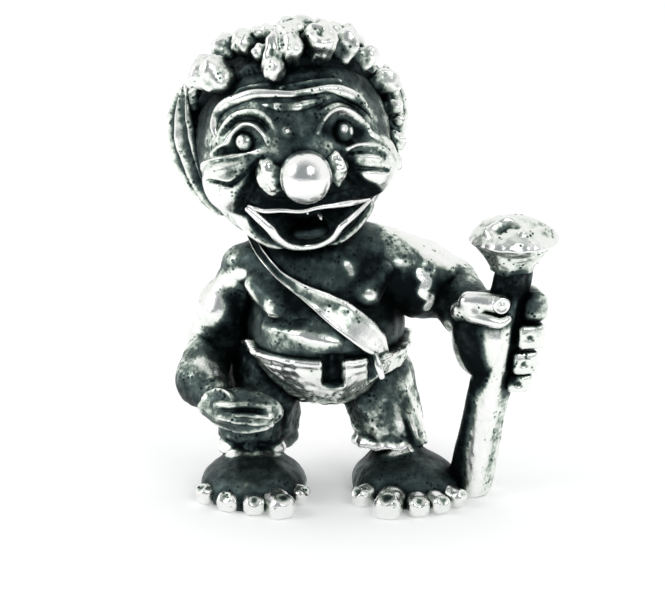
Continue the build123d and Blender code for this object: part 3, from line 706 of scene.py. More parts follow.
def ear(side, places, half_width):
    """A leaf: along it runs a smooth line, across it a thin oval whose width swells and shrinks as a sine to the
    power 0.6, with three ridges on the outer face as a cosine across it."""
    line = trail(places, EAR_ROWS)
    share = np.linspace(0, 1, EAR_ROWS)[:, None]
    across_way, out_way = np.array([side * 0.56, 0.83, 0]), np.array([side * 0.83, -0.56, 0])
    turn = turns(72, 0)[None, :]
    width = half_width * np.sin(np.pi * share ** 0.8) ** 0.6
    across = np.cos(turn)
    face = np.maximum(np.sin(turn), 0)
    out = np.sin(turn) * 0.42 * np.sin(np.pi * share) ** 0.4
    ridges = 0.3 * np.cos(2.6 * np.pi * (across + 0.25 * share)) * face * np.sin(np.pi * share)
    rings = line[:, None] + across_way * (across * width)[..., None] + out_way * (out + ridges)[..., None]
    rings = rings + out_way * (0.06 * lumps(rings, 0.6, 50))[..., None]
    rings[0], rings[-1] = line[0], line[-1]
    return skin(rings)


for name, side in (("right", -1), ("left", 1)):
    piece(f"{name}_ear_leaf", "cast_silver", [f"{name}_ear"], in_head([ear(side, *EAR_LINES[name])]))

# %% [markdown]
# The strap.
# One strap runs over the troll's right shoulder, across chest and back, down into the trousers. It is a ribbon on
# rays that leave a line across the body: the rays turn in the strap's own plane, and its edges are a width apart.

# %% Strap
STRAP_TOP, STRAP_END = np.array([-4.7, 0, 17.1]), np.array([3.3, 0, 8.7])
STRAP_RUN = unit(STRAP_END - STRAP_TOP)
STRAP_SQUARE = np.array([-STRAP_RUN[2], 0, STRAP_RUN[0]])
# along the strap from its top: how far its middle lies to the side, and half its width
STRAP_ALONG = (0.0, 1.4, 3.0, 4.4, 5.7, 7.2, 8.4, 9.7, 10.6, 11.3)
STRAP_MIDDLE = (-0.25, -0.3, -0.15, 0.25, 0.7, 1.05, 1.2, 1.3, 1.3, 0.95)
STRAP_HALF = (0.24, 0.3, 0.3, 0.45, 0.68, 0.82, 0.82, 0.8, 0.66, 0.3)


def strap():
    """Rings along the turn from the shoulder down the front, and back up behind. Across each ring the outer face
    has a rolled edge at both sides, and the inner face lies just under the body's skin. The place and half width of a
    ring follow from how far along the strap it lies."""
    rows, columns = 260, 44
    turn = np.linspace(0, 2 * np.pi, rows, endpoint=False)
    centre = np.array([-0.4, -0.2, 13.0])
    in_plane = -STRAP_RUN * np.cos(turn)[:, None] + np.array([0, -1, 0]) * np.sin(turn)[:, None]
    body = cast(torso_field, (np.broadcast_to(centre, in_plane.shape), in_plane), TORSO_FAR)
    along = (centre - STRAP_TOP) @ STRAP_RUN - np.cos(turn) * body
    half = np.interp(along, STRAP_ALONG, STRAP_HALF)
    bow = np.interp(along, STRAP_ALONG, STRAP_MIDDLE) - (centre - STRAP_TOP) @ STRAP_SQUARE
    round_turn = np.arange(columns) / columns * 2 * np.pi
    across = np.clip(1.25 * np.cos(round_turn), -1, 1)
    outer = np.sin(round_turn)
    offset = bow[:, None] + across * half[:, None]
    starts = centre + STRAP_SQUARE * offset[..., None]
    ways = np.broadcast_to(in_plane[:, None], starts.shape)
    reach_out = cast(torso_field, (starts, ways), TORSO_FAR)
    roll = 0.12 * np.exp(-((np.abs(across) - 0.85) / 0.16) ** 2)
    thickness = np.where(outer > 0, 0.1 + 0.24 * np.minimum(1, 2 * outer) + roll, -0.12)
    rings = starts + ways * (reach_out + thickness)[..., None]
    rings = rings + ways * (0.035 * lumps(rings, 0.5, 61) * (outer > 0))[..., None]
    points = rings.reshape(-1, 3)
    row, column = np.meshgrid(np.arange(rows), np.arange(columns), indexing="ij")
    following, beside = (row + 1) % rows * columns, (column + 1) % columns
    here = row * columns
    quads = np.stack([here + column, here + beside, following + beside, following + column], axis=-1).reshape(-1, 4)
    a, b, c, d = (points[quads[:, i]] for i in range(4))
    if (np.cross(c - a, d - b) * (a + b + c + d - 4 * centre)).sum() < 0:
        quads = quads[:, ::-1]
    middle = np.exp(-(across / 0.62) ** 4) * (outer > 0.3)
    narrow = np.clip((4.2 - along) / 1.2, 0, 1)[:, None]
    end = np.clip((along - 8.2) / 1.2, 0, 1)[:, None]
    return (points, quads, np.zeros((0, 3), int)), ((0.16 + 0.6 * narrow - 0.5 * end) * middle).ravel()


band, band_marks = strap()
keeper = tube([(3.0, -4.5, 10.1), (3.35, -4.95, 9.3), (3.6, -5.0, 8.4)], (0.4, 0.5, 0.36), 20, 30, flat=0.7)
piece("strap_band", "polished_silver", ["shoulder_strap"], [band, keeper], (lambda points: band_marks, 0.1))

# %% [markdown]
# The trousers.
# Ragged knee trousers: a seat that the belly sits in, with a rolled waistband, an open fly and a slit where the strap
# goes in, and a bright apron of cloth in front whose lower edge runs down to the middle. The short legs have
# upright folds and a scalloped, thickened hem.

# %% Seat of the trousers
APRON_EDGE = (
    (-5.6, 9.9), (-4.6, 9.4), (-4.05, 8.95), (-2.4, 7.85), (-0.75, 7.05), (0.5, 6.7), (1.4, 6.9), (2.6, 7.5),
    (3.2, 7.9), (3.8, 8.1), (5.2, 8.1),
)


def seat_field(points):
    """A bowl round the belly, cut level at the waist with one peak at its right, less the fly and the slit."""
    rim = 9.8 + dot(points, (-4.9, -2.6, 9.9), 0.5, 0.8)
    bowl = np.maximum(egg(points, BELLY, (5.5, 5.75, 5.4)), points[..., 2] - rim)
    bowl = carve(bowl, block(points, (0.5, -5.5, 9.2), (0.66, 1.4, 1.2), 0.25), 0.16)
    return carve(bowl, block(points, (3.0, -5.0, 8.9), (0.42, 1.2, 1.15), 0.2), 0.16)


def seat_relief(points):
    """The waistband, the apron's raised cloth, pits and folds."""
    front = points[..., 1] < -1.2
    apron = np.clip((points[..., 2] - np.interp(points[..., 0], *np.array(APRON_EDGE).T)) / 0.25, 0, 1) * front
    roll = np.exp(-((points[..., 2] - 9.55) / 0.16) ** 2) * 0.13
    groove = np.exp(-((points[..., 2] - 9.2) / 0.1) ** 2) * -0.06
    folds = lumps(points * [1, 1, 0.5], 0.8, 71) * 0.26 * (1 - apron)
    return 0.2 * apron + roll + groove + folds + 0.07 * lumps(points, 0.35, 72) - 0.3 * (1 - apron) * front


SEAT_STEPS = 110
piece("trouser_seat", "polished_silver", ["trousers"],
      [surface(seat_field, globe((0, 0, 8.2), 300, 170, gather=0.4), far=7, relief=seat_relief, steps=SEAT_STEPS)])

# %% Trouser legs
def trouser_leg(hip, hem, drop, folds_behind, seed):
    """A round bar from hip to hem, with folds of cloth (start, end, radius) melted on behind, cut at a scalloped hem
    that hangs lower behind and flares, with upright folds."""
    def turn_of(points):
        return np.arctan2(points[..., 0] - hem[0], -(points[..., 1] - hem[1]))

    def rim(points):
        """Height of the hem: scallops as cosines of the turn round the leg, and 0.5 lower at the back."""
        turn = turn_of(points)
        return (hem[2] - drop - 0.25 * (1 - np.cos(turn)) + 0.1 * np.cos(6 * turn) + 0.05 * np.cos(11 * turn + 1))

    def field(points):
        leg = bar(points, hip, hem, 2.3, 2.25)
        for start, end, radius in folds_behind:
            leg = melt(leg, bar(points, start, end, radius, radius), 0.5)
        return np.maximum(leg, rim(points) - points[..., 2])

    def relief(points):
        above = points[..., 2] - rim(points)
        flare = 0.26 * np.exp(-(above / 0.32) ** 2)
        groove = -0.12 * np.exp(-((above - 0.6) / 0.2) ** 2)
        folds = 0.1 * np.cos(7 * turn_of(points) + 2 * above) * np.exp(-above / 2.2)
        return flare + groove + folds + waxy(points, seed, (0.1, 0.7), (0.04, 0.3))

    return surface(field, sleeve([hip, (hip + hem) / 2, hem + [0, 0, 0.5]], 180, 70, 30), far=6, relief=relief)


# name, hip, hem, how far the hem hangs below it, folds of cloth behind, seed
LEGS = (
    ("right", RIGHT_HIP, RIGHT_HEM, 0.65,
     (((-3.0, 0.7, 5.4), (-2.9, 0.7, 3.4), 1.3), ((-4.4, 0.4, 8.6), (-4.6, 0.3, 6.0), 1.7)), 81),
    ("left", LEFT_HIP, LEFT_HEM, 0.3, (((4.2, 0.6, 7.0), (5.0, 0.7, 3.4), 1.5),), 83),
)
for name, *leg in LEGS:
    piece(f"{name}_leg_cloth", "cast_silver", [f"{name}_trouser_leg"], [trouser_leg(*leg)])

# %% [markdown]
# Feet and toes.
# Big bare feet, like bells: a wide low dome that draws in to the ankle under the hem. Round the front stand five
# blocky toes, bright in front, with a sunken nail on each.

# %% Feet
FEET = (("right", RIGHT_HEM, 3, 91), ("left", LEFT_HEM, 30, 93))


def sole_middle(hem, heading):
    """The middle of the sole, ahead of the hem by the heading of the foot."""
    return reach(np.array([hem[0], hem[1], 0.0]), 2.0, heading, 0)


def foot(hem, heading, seed):
    """A low dome melted with a cone up to the ankle, cut level at the floor."""
    middle = sole_middle(hem, heading)
    ankle = np.array([hem[0], hem[1], 3.3])

    def field(points):
        dome = egg(points, middle + [0, 0, 0.6], (3.4, 3.8, 1.95), heading)
        cone = bar(points, middle + [0, 0, 0.7], ankle, 2.2, 1.1)
        return np.maximum(melt(dome, cone, 0.9), -points[..., 2])

    def relief(points):
        above = np.clip(points[..., 2] / 0.3, 0, 1)
        side = points[..., :2] - middle[:2]
        ridges = 0.03 * np.cos(5 * np.arctan2(side[..., 0], -side[..., 1]) + seed) * np.clip(points[..., 2] / 2, 0, 1)
        return (ridges + waxy(points, seed, (0.1, 1.4), (0.03, 0.4))) * above

    return surface(field, globe(middle + [0, 0, 0.6], 200, 110), far=8, relief=relief)


for name, *values in FEET:
    piece(f"{name}_foot_bell", "oxidised_silver", [f"{name}_foot"], [foot(*values)])

# %% Toes
# place on the floor and size, from left to right in the picture
RIGHT_TOES = ((-7.75, -4.75, 0.8), (-6.2, -6.1, 0.82), (-4.45, -6.75, 0.82), (-2.7, -6.95, 1.04), (-1.35, -4.95, 0.72))
LEFT_TOES = ((2.15, -5.2, 0.78), (3.95, -6.9, 1.08), (5.9, -6.95, 0.82), (7.35, -6.6, 0.76), (8.6, -5.5, 0.72))


def toe(middle, place, seed):
    """A block with round corners that points away from the foot's middle, with a nail: a dimple with a ring round
    it."""
    tip = np.array([place[0], place[1], 0.58])
    way = unit(tip[:2] - middle[:2])
    size = place[2]
    turn = math.degrees(math.atan2(way[0], -way[1]))
    body = tip - np.array([way[0], way[1], 0]) * 0.7
    nail = tip + np.array([way[0] * 0.25, way[1] * 0.25, 0.72 * size])

    def field(points):
        form = block(points, body, (0.84 * size, 1.35 * size, 0.76 * size), 0.6 * size, turn)
        return np.maximum(form, -points[..., 2])

    def relief(points):
        away = np.linalg.norm((points - nail) * [1, 1, 0.8], axis=-1)
        ring = 0.07 * np.exp(-((away - 0.52 * size) / 0.1) ** 2) - 0.1 * np.exp(-(away / (0.36 * size)) ** 2)
        knuckle = dot(points, body + np.array([0, 0, 0.8 * size]) - np.append(way, 0) * 0.5, 0.4, 0.14)
        return (ring + knuckle + 0.06 * lumps(points, 0.5, seed)) * np.clip(points[..., 2] / 0.2, 0, 1)

    def mark(points):
        return dot(points, nail, 0.5 * size, 0.75)

    return surface(field, globe(body, 64, 44), far=3, relief=relief), mark


for (name, hem, heading, _), toes, seed in zip(FEET, (RIGHT_TOES, LEFT_TOES), (101, 111)):
    middle = sole_middle(hem, heading)
    shapes, marks = zip(*[toe(middle, place, seed + i) for i, place in enumerate(toes)])
    piece(f"{name}_toe_row", "polished_silver", [f"{name}_toes"], shapes, marks)

# %% [markdown]
# The arms.
# The right arm hangs and lays its hand on the hip. The left is held out level, thick and bare. Each limb is a round
# bar, swollen where the muscle is, and the skin is found along rays square to its bone.

# %% Arms
def limb(places, radii, swellings, seed):
    """Round bars from place to place melted together, with balls for the muscles."""
    def field(points):
        form = None
        for start, end, first, last in zip(places[:-1], places[1:], radii[:-1], radii[1:]):
            next_bar = bar(points, start, end, first, last)
            form = next_bar if form is None else melt(form, next_bar, 0.4)
        for middle, radius in swellings:
            form = melt(form, ball(points, np.array(middle), radius), 0.6)
        return form

    def relief(points):
        return waxy(points, seed, (0.09, 1.2), (0.04, 0.45))

    return surface(field, sleeve(places, 110, 90, 24), far=5, relief=relief)


# node, places, radii there, muscles, seed
LIMBS = (
    ("right_upper_arm", (RIGHT_SHOULDER, RIGHT_ELBOW), (1.3, 1.62),
     (((-6.6, -0.2, 11.6), 1.68), ((-6.4, 0.6, 9.8), 1.7)), 121),
    ("right_forearm", (RIGHT_ELBOW, RIGHT_CUFF, RIGHT_WRIST), (1.55, 1.66, 1.05), (), 123),
    ("left_upper_arm", (LEFT_SHOULDER + [0.3, 0.1, 0], (6.2, 0.3, 13.4), LEFT_ELBOW), (2.35, 2.46, 1.98), (), 125),
    ("left_forearm", (LEFT_ELBOW, LEFT_WRIST), (1.98, 1.75), (), 127),
)
for node, *values in LIMBS:
    piece(f"{node}_skin", "cast_silver", [node], [limb(*values)])

# %% [markdown]
# The hands.
# The right hand is a flat mitten of four fingers on the hip. The left is a fist: the palm behind the club, finger
# ends with square nails beside it, and the thumb with its round nail across the front.

# %% Right hand
HAND_MIDDLE, HAND_RADII, HAND_TURN = np.array([-5.15, -5.3, 6.6]), (2.7, 1.05, 1.3), -16
HAND_ALONG = np.array([math.cos(math.radians(HAND_TURN)), math.sin(math.radians(HAND_TURN)), 0])
HAND_LINES = (
    # places as (along the hand, up), width, height
    (((-2.3, 0.6), (-2.6, -0.1), (-2.2, -0.8), (-1.2, -1.15), (0.2, -1.2), (1.4, -1.0), (2.2, -0.5)), 0.17, 0.3),
    (((-2.4, 0.4), (-1.9, 1.0), (-0.9, 1.1), (-0.2, 0.75)), 0.17, 0.3),
    (((-1.7, 0.35), (-0.5, 0.45), (0.8, 0.6), (2.1, 0.4)), 0.24, 0.3),
    (((-0.4, -0.05), (0.8, 0.0), (2.2, -0.15)), 0.2, 0.26),
    (((-1.6, -0.35), (0.2, -0.5), (1.8, -0.62)), 0.2, 0.22),
    (((-1.4, 0.05), (0.6, 0.28), (1.8, 0.2)), 0.14, -0.25),
    (((-1.2, -0.65), (0.6, -0.85), (1.8, -0.8)), 0.13, -0.2),
)


def hand_field(points):
    """A flattened egg that lies along the hip."""
    return egg(points, HAND_MIDDLE, HAND_RADII, HAND_TURN)


def hand_relief(points):
    """Fingers and the rim of the hand, laid on its front."""
    length, thickness, tall = HAND_RADII
    out = np.array([HAND_ALONG[1], -HAND_ALONG[0], 0])
    change = 0.05 * lumps(points, 0.5, 131)
    for places, width, height in HAND_LINES:
        share = np.array(places)
        depth = thickness * np.sqrt(np.clip(1 - (share[:, 0] / length) ** 2 - (share[:, 1] / tall) ** 2, 0, 1))
        line = HAND_MIDDLE + share[:, :1] * HAND_ALONG + share[:, 1:] * [0, 0, 1] + depth[:, None] * out
        change += stroke(points, line, width, height)
    return change


piece("right_hand_skin", "polished_silver", ["right_hand"],
      [surface(hand_field, globe(HAND_MIDDLE, 200, 120, gather=0.3), far=5, relief=hand_relief)])

# %% Left fist and thumb
def club_axis(height):
    """The place on the club's axis at a height."""
    return CLUB_FOOT + CLUB_WAY * (height / CLUB_WAY[2])


def fist_field(points):
    """The palm behind the club."""
    return egg(points, LEFT_PALM + [-0.2, 0.3, -0.35], (2.15, 1.9, 3.0), -20)


def fist_relief(points):
    """Lumps on the palm."""
    return 0.1 * lumps(points, 0.9, 141)


def finger(height, length, tall, seed, nail=True, corner=0.3):
    """A square finger beside the club, cut off in front, with a nail and a pit in it."""
    middle = club_axis(height) + [1.55, 0.3, 0]
    face = middle + [0.05, -length - 0.02, 0]

    def field(points):
        return block(points, middle, (0.86, length, tall), corner, 12)

    def relief(points):
        plate = np.abs((points - face) @ np.array([[1, 0], [0, 0], [0, 1]]))
        edge = np.maximum(plate[..., 0] / 0.55, plate[..., 1] / 0.4)
        front = np.clip((face[1] + 0.35 - points[..., 1]) / 0.3, 0, 1)
        raised = front * 0.06 * np.clip((1 - edge) * 4, 0, 1)
        return 0.05 * lumps(points, 0.5, seed) + nail * (raised + dot(points, face + [0.05, 0.1, 0], 0.17, -0.34))

    return surface(field, globe(middle, 80, 56), far=3, relief=relief)


# height on the club, length, tallness, seed, then whether it shows a nail, and its corner's radius
FINGERS = ((12.8, 1.45, 1.0, 142, False, 0.8), (11.0, 1.65, 0.78, 143), (9.2, 1.5, 0.74, 144), (7.75, 1.25, 0.6, 145))
palm = surface(fist_field, globe(LEFT_PALM, 140, 90), far=5, relief=fist_relief)
piece("left_fist_skin", "polished_silver", ["left_fist"], [palm] + [finger(*values) for values in FINGERS])

THUMB_NAIL = np.array([10.95, -5.35, 13.3])


def thumb_field(points):
    """A bar across the front of the club, melted with its root."""
    tip = bar(points, (8.9, -4.1, 13.25), (10.9, -4.75, 13.3), 0.62, 0.62)
    return melt(tip, bar(points, (8.6, -3.6, 12.5), (9.4, -4.4, 12.6), 0.75, 0.6), 0.3)


def thumb_relief(points):
    """The nail: a dome in a ring-shaped groove."""
    away = np.linalg.norm((points - THUMB_NAIL) * [1, 0.6, 1], axis=-1)
    rim, groove = 0.08 * np.exp(-((away - 0.46) / 0.09) ** 2), 0.1 * np.exp(-((away - 0.3) / 0.09) ** 2)
    return rim - groove + 0.03 * lumps(points, 0.5, 151)


KNUCKLE = ((8.5, -3.7, 12.35), (9.3, -4.5, 12.4), (10.1, -4.95, 12.3), (10.9, -5.0, 12.15), (11.6, -4.75, 12.45))
piece("left_thumb_skin", "polished_silver", ["left_thumb"], [
    surface(thumb_field, sleeve([(8.8, -3.9, 13.0), (10.9, -4.7, 13.25)], 90, 60, 26), far=3, relief=thumb_relief),
    tube(KNUCKLE, (0.9, 0.95, 0.8, 0.7, 0.45), 40, 80)])

# %% [markdown]
# The club.
# A rough branch: a shaft with one flat bright side and dark bark beside it, thicker at its foot, and a knob that
# flares like a mushroom to a thin rim, with a hollowed uneven top and a notch in front.

# %% Club
def shaft_field(points):
    """A round bar, cut level at the floor."""
    form = bar(points, CLUB_FOOT, CLUB_FOOT + CLUB_WAY * 15.2, 1.38, 1.08)
    return np.maximum(form, -points[..., 2])


def shaft_relief(points):
    """Bark: long noise, and faces that are nearly flat, as a cosine of four times the turn."""
    axis = club_axis(points[..., 2:])
    turn = np.arctan2(points[..., 0] - axis[..., 0], -(points[..., 1] - axis[..., 1]))
    flat = 0.11 * np.cos(4 * (turn - 0.1))
    knots = 0.07 * lumps(points * [1, 1, 0.25], 0.6, 161) + 0.03 * lumps(points * [1, 1, 0.4], 0.22, 162)
    return (flat + knots) * np.clip(points[..., 2] / 0.3, 0, 1)


shaft_line = [CLUB_FOOT + CLUB_WAY * length for length in (0.8, 8, 15)]
piece("club_stick", "cast_silver", ["club_shaft"],
      [surface(shaft_field, sleeve(shaft_line, 110, 260, 16), far=4, relief=shaft_relief)])

KNOB = CLUB_NECK + np.array([0.05, 0, 2.9])
TOP_STROKES = (
    # places from the middle of the knob's top, width, height
    (((-2.0, -1.2, -0.5), (-0.9, -0.9, 0.05), (0.2, -0.4, 0.15), (1.6, -0.2, 0)), 0.3, 0.2),
    (((-1.2, -1.7, -0.4), (-0.4, -1.2, 0), (0.4, -1.5, -0.1)), 0.3, -0.26),
    (((0.2, -1.9, -0.5), (1.2, -1.5, -0.2), (2.1, -0.8, -0.3)), 0.25, 0.18),
)


def knob_field(points):
    """A flared neck under a flat dome: the radius grows from the neck with the power 2.3 of the height."""
    place = points - CLUB_NECK
    away = np.hypot(place[..., 0] - 0.03 * place[..., 2], place[..., 1])
    share = np.clip((place[..., 2] - 0.2) / 2.9, 0, 1)
    wall = (away - (1.26 + 1.5 * share ** 2.3)) * 0.7
    dome = egg(points, CLUB_NECK + [0.1, 0, 2.75], (2.78, 2.7, 1.85))
    form = np.maximum(np.maximum(wall, dome - 0.02), -place[..., 2])
    return carve(form, ball(points, CLUB_NECK + [-1.15, -2.75, 2.3], 0.3), 0.15)


def knob_relief(points):
    """Ridges and hollows of the top, and bark on the neck."""
    change = waxy(points, 171, (0.14, 1.0), (0.06, 0.4))
    for places, width, height in TOP_STROKES:
        change += stroke(points, CLUB_NECK + [0, 0, 4.4] + np.array(places), width, height)
    return change


piece("club_knob", "polished_silver", ["club_head"],
      [surface(knob_field, globe(KNOB, 190, 130, level=0.15), far=5, relief=knob_relief)])
print("triangles in all", sum(2 * len(item["quads"]) + len(item["fans"]) for item in pieces.values()))

# %% [markdown]
# Where the oxide stays.
# A buff only touches what stands out, so the black is left wherever a point is sheltered by metal near it. To measure
# that, the inside of all the pieces together is filled in on a grid: the faces' normals are dropped into cells, and
# the filled body is what has them as its slope, which a Fourier transform solves in one step. Blurred, it says how
# much metal stands around each point of the skin, at two reaches: fine creases, and broad hollows.

# %% Filling the body
CELL, MARGIN = 0.17, 2.5
everything = np.vstack([item["points"] for item in pieces.values()])
corner = everything.min(0) - MARGIN
cells = np.ceil((everything.max(0) + MARGIN - corner) / CELL).astype(int)
cells += cells % 2
slope = [np.zeros(cells.prod()) for _ in range(3)]
for item in pieces.values():
    points, quads, fans = item["points"], item["quads"], item["fans"]
    a, b, c, d = (points[quads[:, i]] for i in range(4))
    areas = np.vstack([np.cross(c - a, d - b) / 2,
                       np.cross(points[fans[:, 1]] - points[fans[:, 0]], points[fans[:, 2]] - points[fans[:, 0]]) / 2])
    middles = np.vstack([(a + b + c + d) / 4, points[fans].mean(axis=1)])
    cell = ((middles - corner) / CELL).astype(int)
    index = (cell[:, 0] * cells[1] + cell[:, 1]) * cells[2] + cell[:, 2]
    for axis in range(3):
        slope[axis] += np.bincount(index, areas[:, axis], cells.prod())
    normals = np.zeros_like(points)
    for axis in range(3):
        for i in range(4):
            normals[:, axis] += np.bincount(quads[:, i], areas[:len(quads), axis], len(points))
        for i in range(3):
            normals[:, axis] += np.bincount(fans[:, i], areas[len(quads):, axis], len(points))
    item["normals"] = normals / np.maximum(np.linalg.norm(normals, axis=1, keepdims=True), 1e-12)

waves = [2 * np.pi * np.fft.fftfreq(cells[0], CELL)[:, None, None],
         2 * np.pi * np.fft.fftfreq(cells[1], CELL)[None, :, None],
         2 * np.pi * np.fft.rfftfreq(cells[2], CELL)[None, None, :]]
square = sum(wave ** 2 for wave in waves)
square[0, 0, 0] = 1
spectrum = sum(1j * wave * np.fft.rfftn(part.reshape(cells)) for wave, part in zip(waves, slope)) / square / CELL ** 3
filled = np.fft.irfftn(spectrum, cells)
filled = np.clip(filled - filled[0, 0, 0], 0, 1)
print("filled share of the grid", filled.mean().round(4), "cells", cells)
filled_spectrum = np.fft.rfftn(filled)


def around(places, reach_out):
    """How full of metal the space round each place is: the filled grid blurred by a bell as wide as reach_out, and
    read between its cells by the share of the way to the next one."""
    blurred = np.fft.irfftn(filled_spectrum * np.exp(-square * reach_out ** 2 / 2), cells)
    spot = np.clip((places - corner) / CELL - 0.5, 0, cells - 2)
    cell = spot.astype(int)
    share = spot - cell
    total = 0
    for step in itertools.product((0, 1), repeat=3):
        weight = np.where(step, share, 1 - share).prod(axis=-1)
        total = total + weight * blurred[tuple((cell + step).T)]
    return total

# %% [markdown]
# The polisher's hand.
# The dip and the buff are not even: the troll's chest, forehead and feet stayed dark, and its cheeks, apron and
# club were rubbed white. So each piece has a lean towards dark or bright, and a few places are rubbed more or less.
# Some of these marks are painted light: painted shadow under the apron's edge, painted shade above the left thumb, and
# a painted highlight along the top of the left arm.

# %% Oxide on every point
LEANS = {
    "head_skin": 0.02, "nose_skin": -0.5, "brow_skin": -0.3, "lips_skin": -0.4, "tongue_skin": 0.6, "hair_locks": 0.0,
    "torso_skin": 0.2, "trouser_seat": 0.0, "right_leg_cloth": 0.3, "left_leg_cloth": 0.16, "right_foot_bell": 0.34,
    "left_foot_bell": 0.34, "right_toe_row": -0.3, "left_toe_row": -0.3, "strap_band": -0.15, "club_stick": 0.1,
    "club_knob": -0.04, "left_thumb_skin": -0.25, "right_hand_skin": 0.28, "right_forearm_skin": 0.14,
    "right_ear_leaf": 0.1, "left_ear_leaf": 0.06, "left_fist_skin": 0.0, "right_eyeball": 0.14, "left_eyeball": 0.5,
}
FACE_RUBS = (
    # places as (heading, rise), width, darker or (negative) brighter
    (((-75, 40), (-45, 47), (-15, 49), (15, 50), (45, 46), (68, 38)), 1.0, 0.32),
    (((-76, 34), (-76, 20), (-80, 6)), 0.8, 0.3), (((64, 34), (66, 20), (62, 8)), 0.7, 0.3),
    (((-16, 32), (-8, 24), (0, 14), (10, 26), (8, 34)), 0.9, 0.28), (((-7, 21), (-7, 22)), 0.2, -0.8),
    (((-48, 10), (-37, 12), (-26, 15)), 0.35, 0.4), (((18, 18), (28, 14), (40, 12)), 0.45, 0.5),
    (((-62, 5), (-55, 11), (-49, 14), (-45, 20), (-40, 24), (-35, 26), (-28, 25), (-22, 20)), 0.12, -0.5),
    (LID_LEFT, 0.14, -0.6),
    (FOREHEAD_RIGHT, 0.1, -0.6), (FOREHEAD_LEFT, 0.1, -0.6),
    (CHEEK_RIGHT, 0.13, -0.5),
    (((-66, -4), (-58, -8), (-48, -13), (-46, -17)), 0.75, -0.65), (((-58, -18), (-56, -26), (-48, -33)), 0.7, -0.6),
    (((55, -14), (57, -24), (52, -30)), 0.5, -0.6), (((-58, -32), (-50, -42), (-40, -51), (-26, -57)), 0.2, -0.8),
    (CHEEK_LEFT, 0.12, -0.5), (((36, -11), (43, -12), (47, -18)), 0.5, -0.6),
    (JOWL_LEFT, 0.15, -0.8),
    (((-24, 4), (-29, -3), (-32, -9), (-36, -15), (-39, -19)), 0.4, 0.9), (((-40, -20), (-42, -25)), 0.3, 0.9),
    (((25, 2), (29, -9), (35, -17), (41, -21), (45, -24)), 0.36, 0.9),
    (((-36, -18), (-26, -18), (-14, -20), (0, -22), (14, -20), (30, -21), (42, -24)), 0.36, 0.7),
    (CHIN_RIGHT, 0.34, 1.8),
    (CHIN_LEFT, 0.28, 1.8),
    (((-24, -27), (-5, -36), (12, -34), (28, -29)), 1.7, 1.4), (DIMPLE, 0.07, 0.9),
    (BAG_RIGHT, 0.14, 0.6),
    (BAG_LEFT, 0.14, 0.6),
)
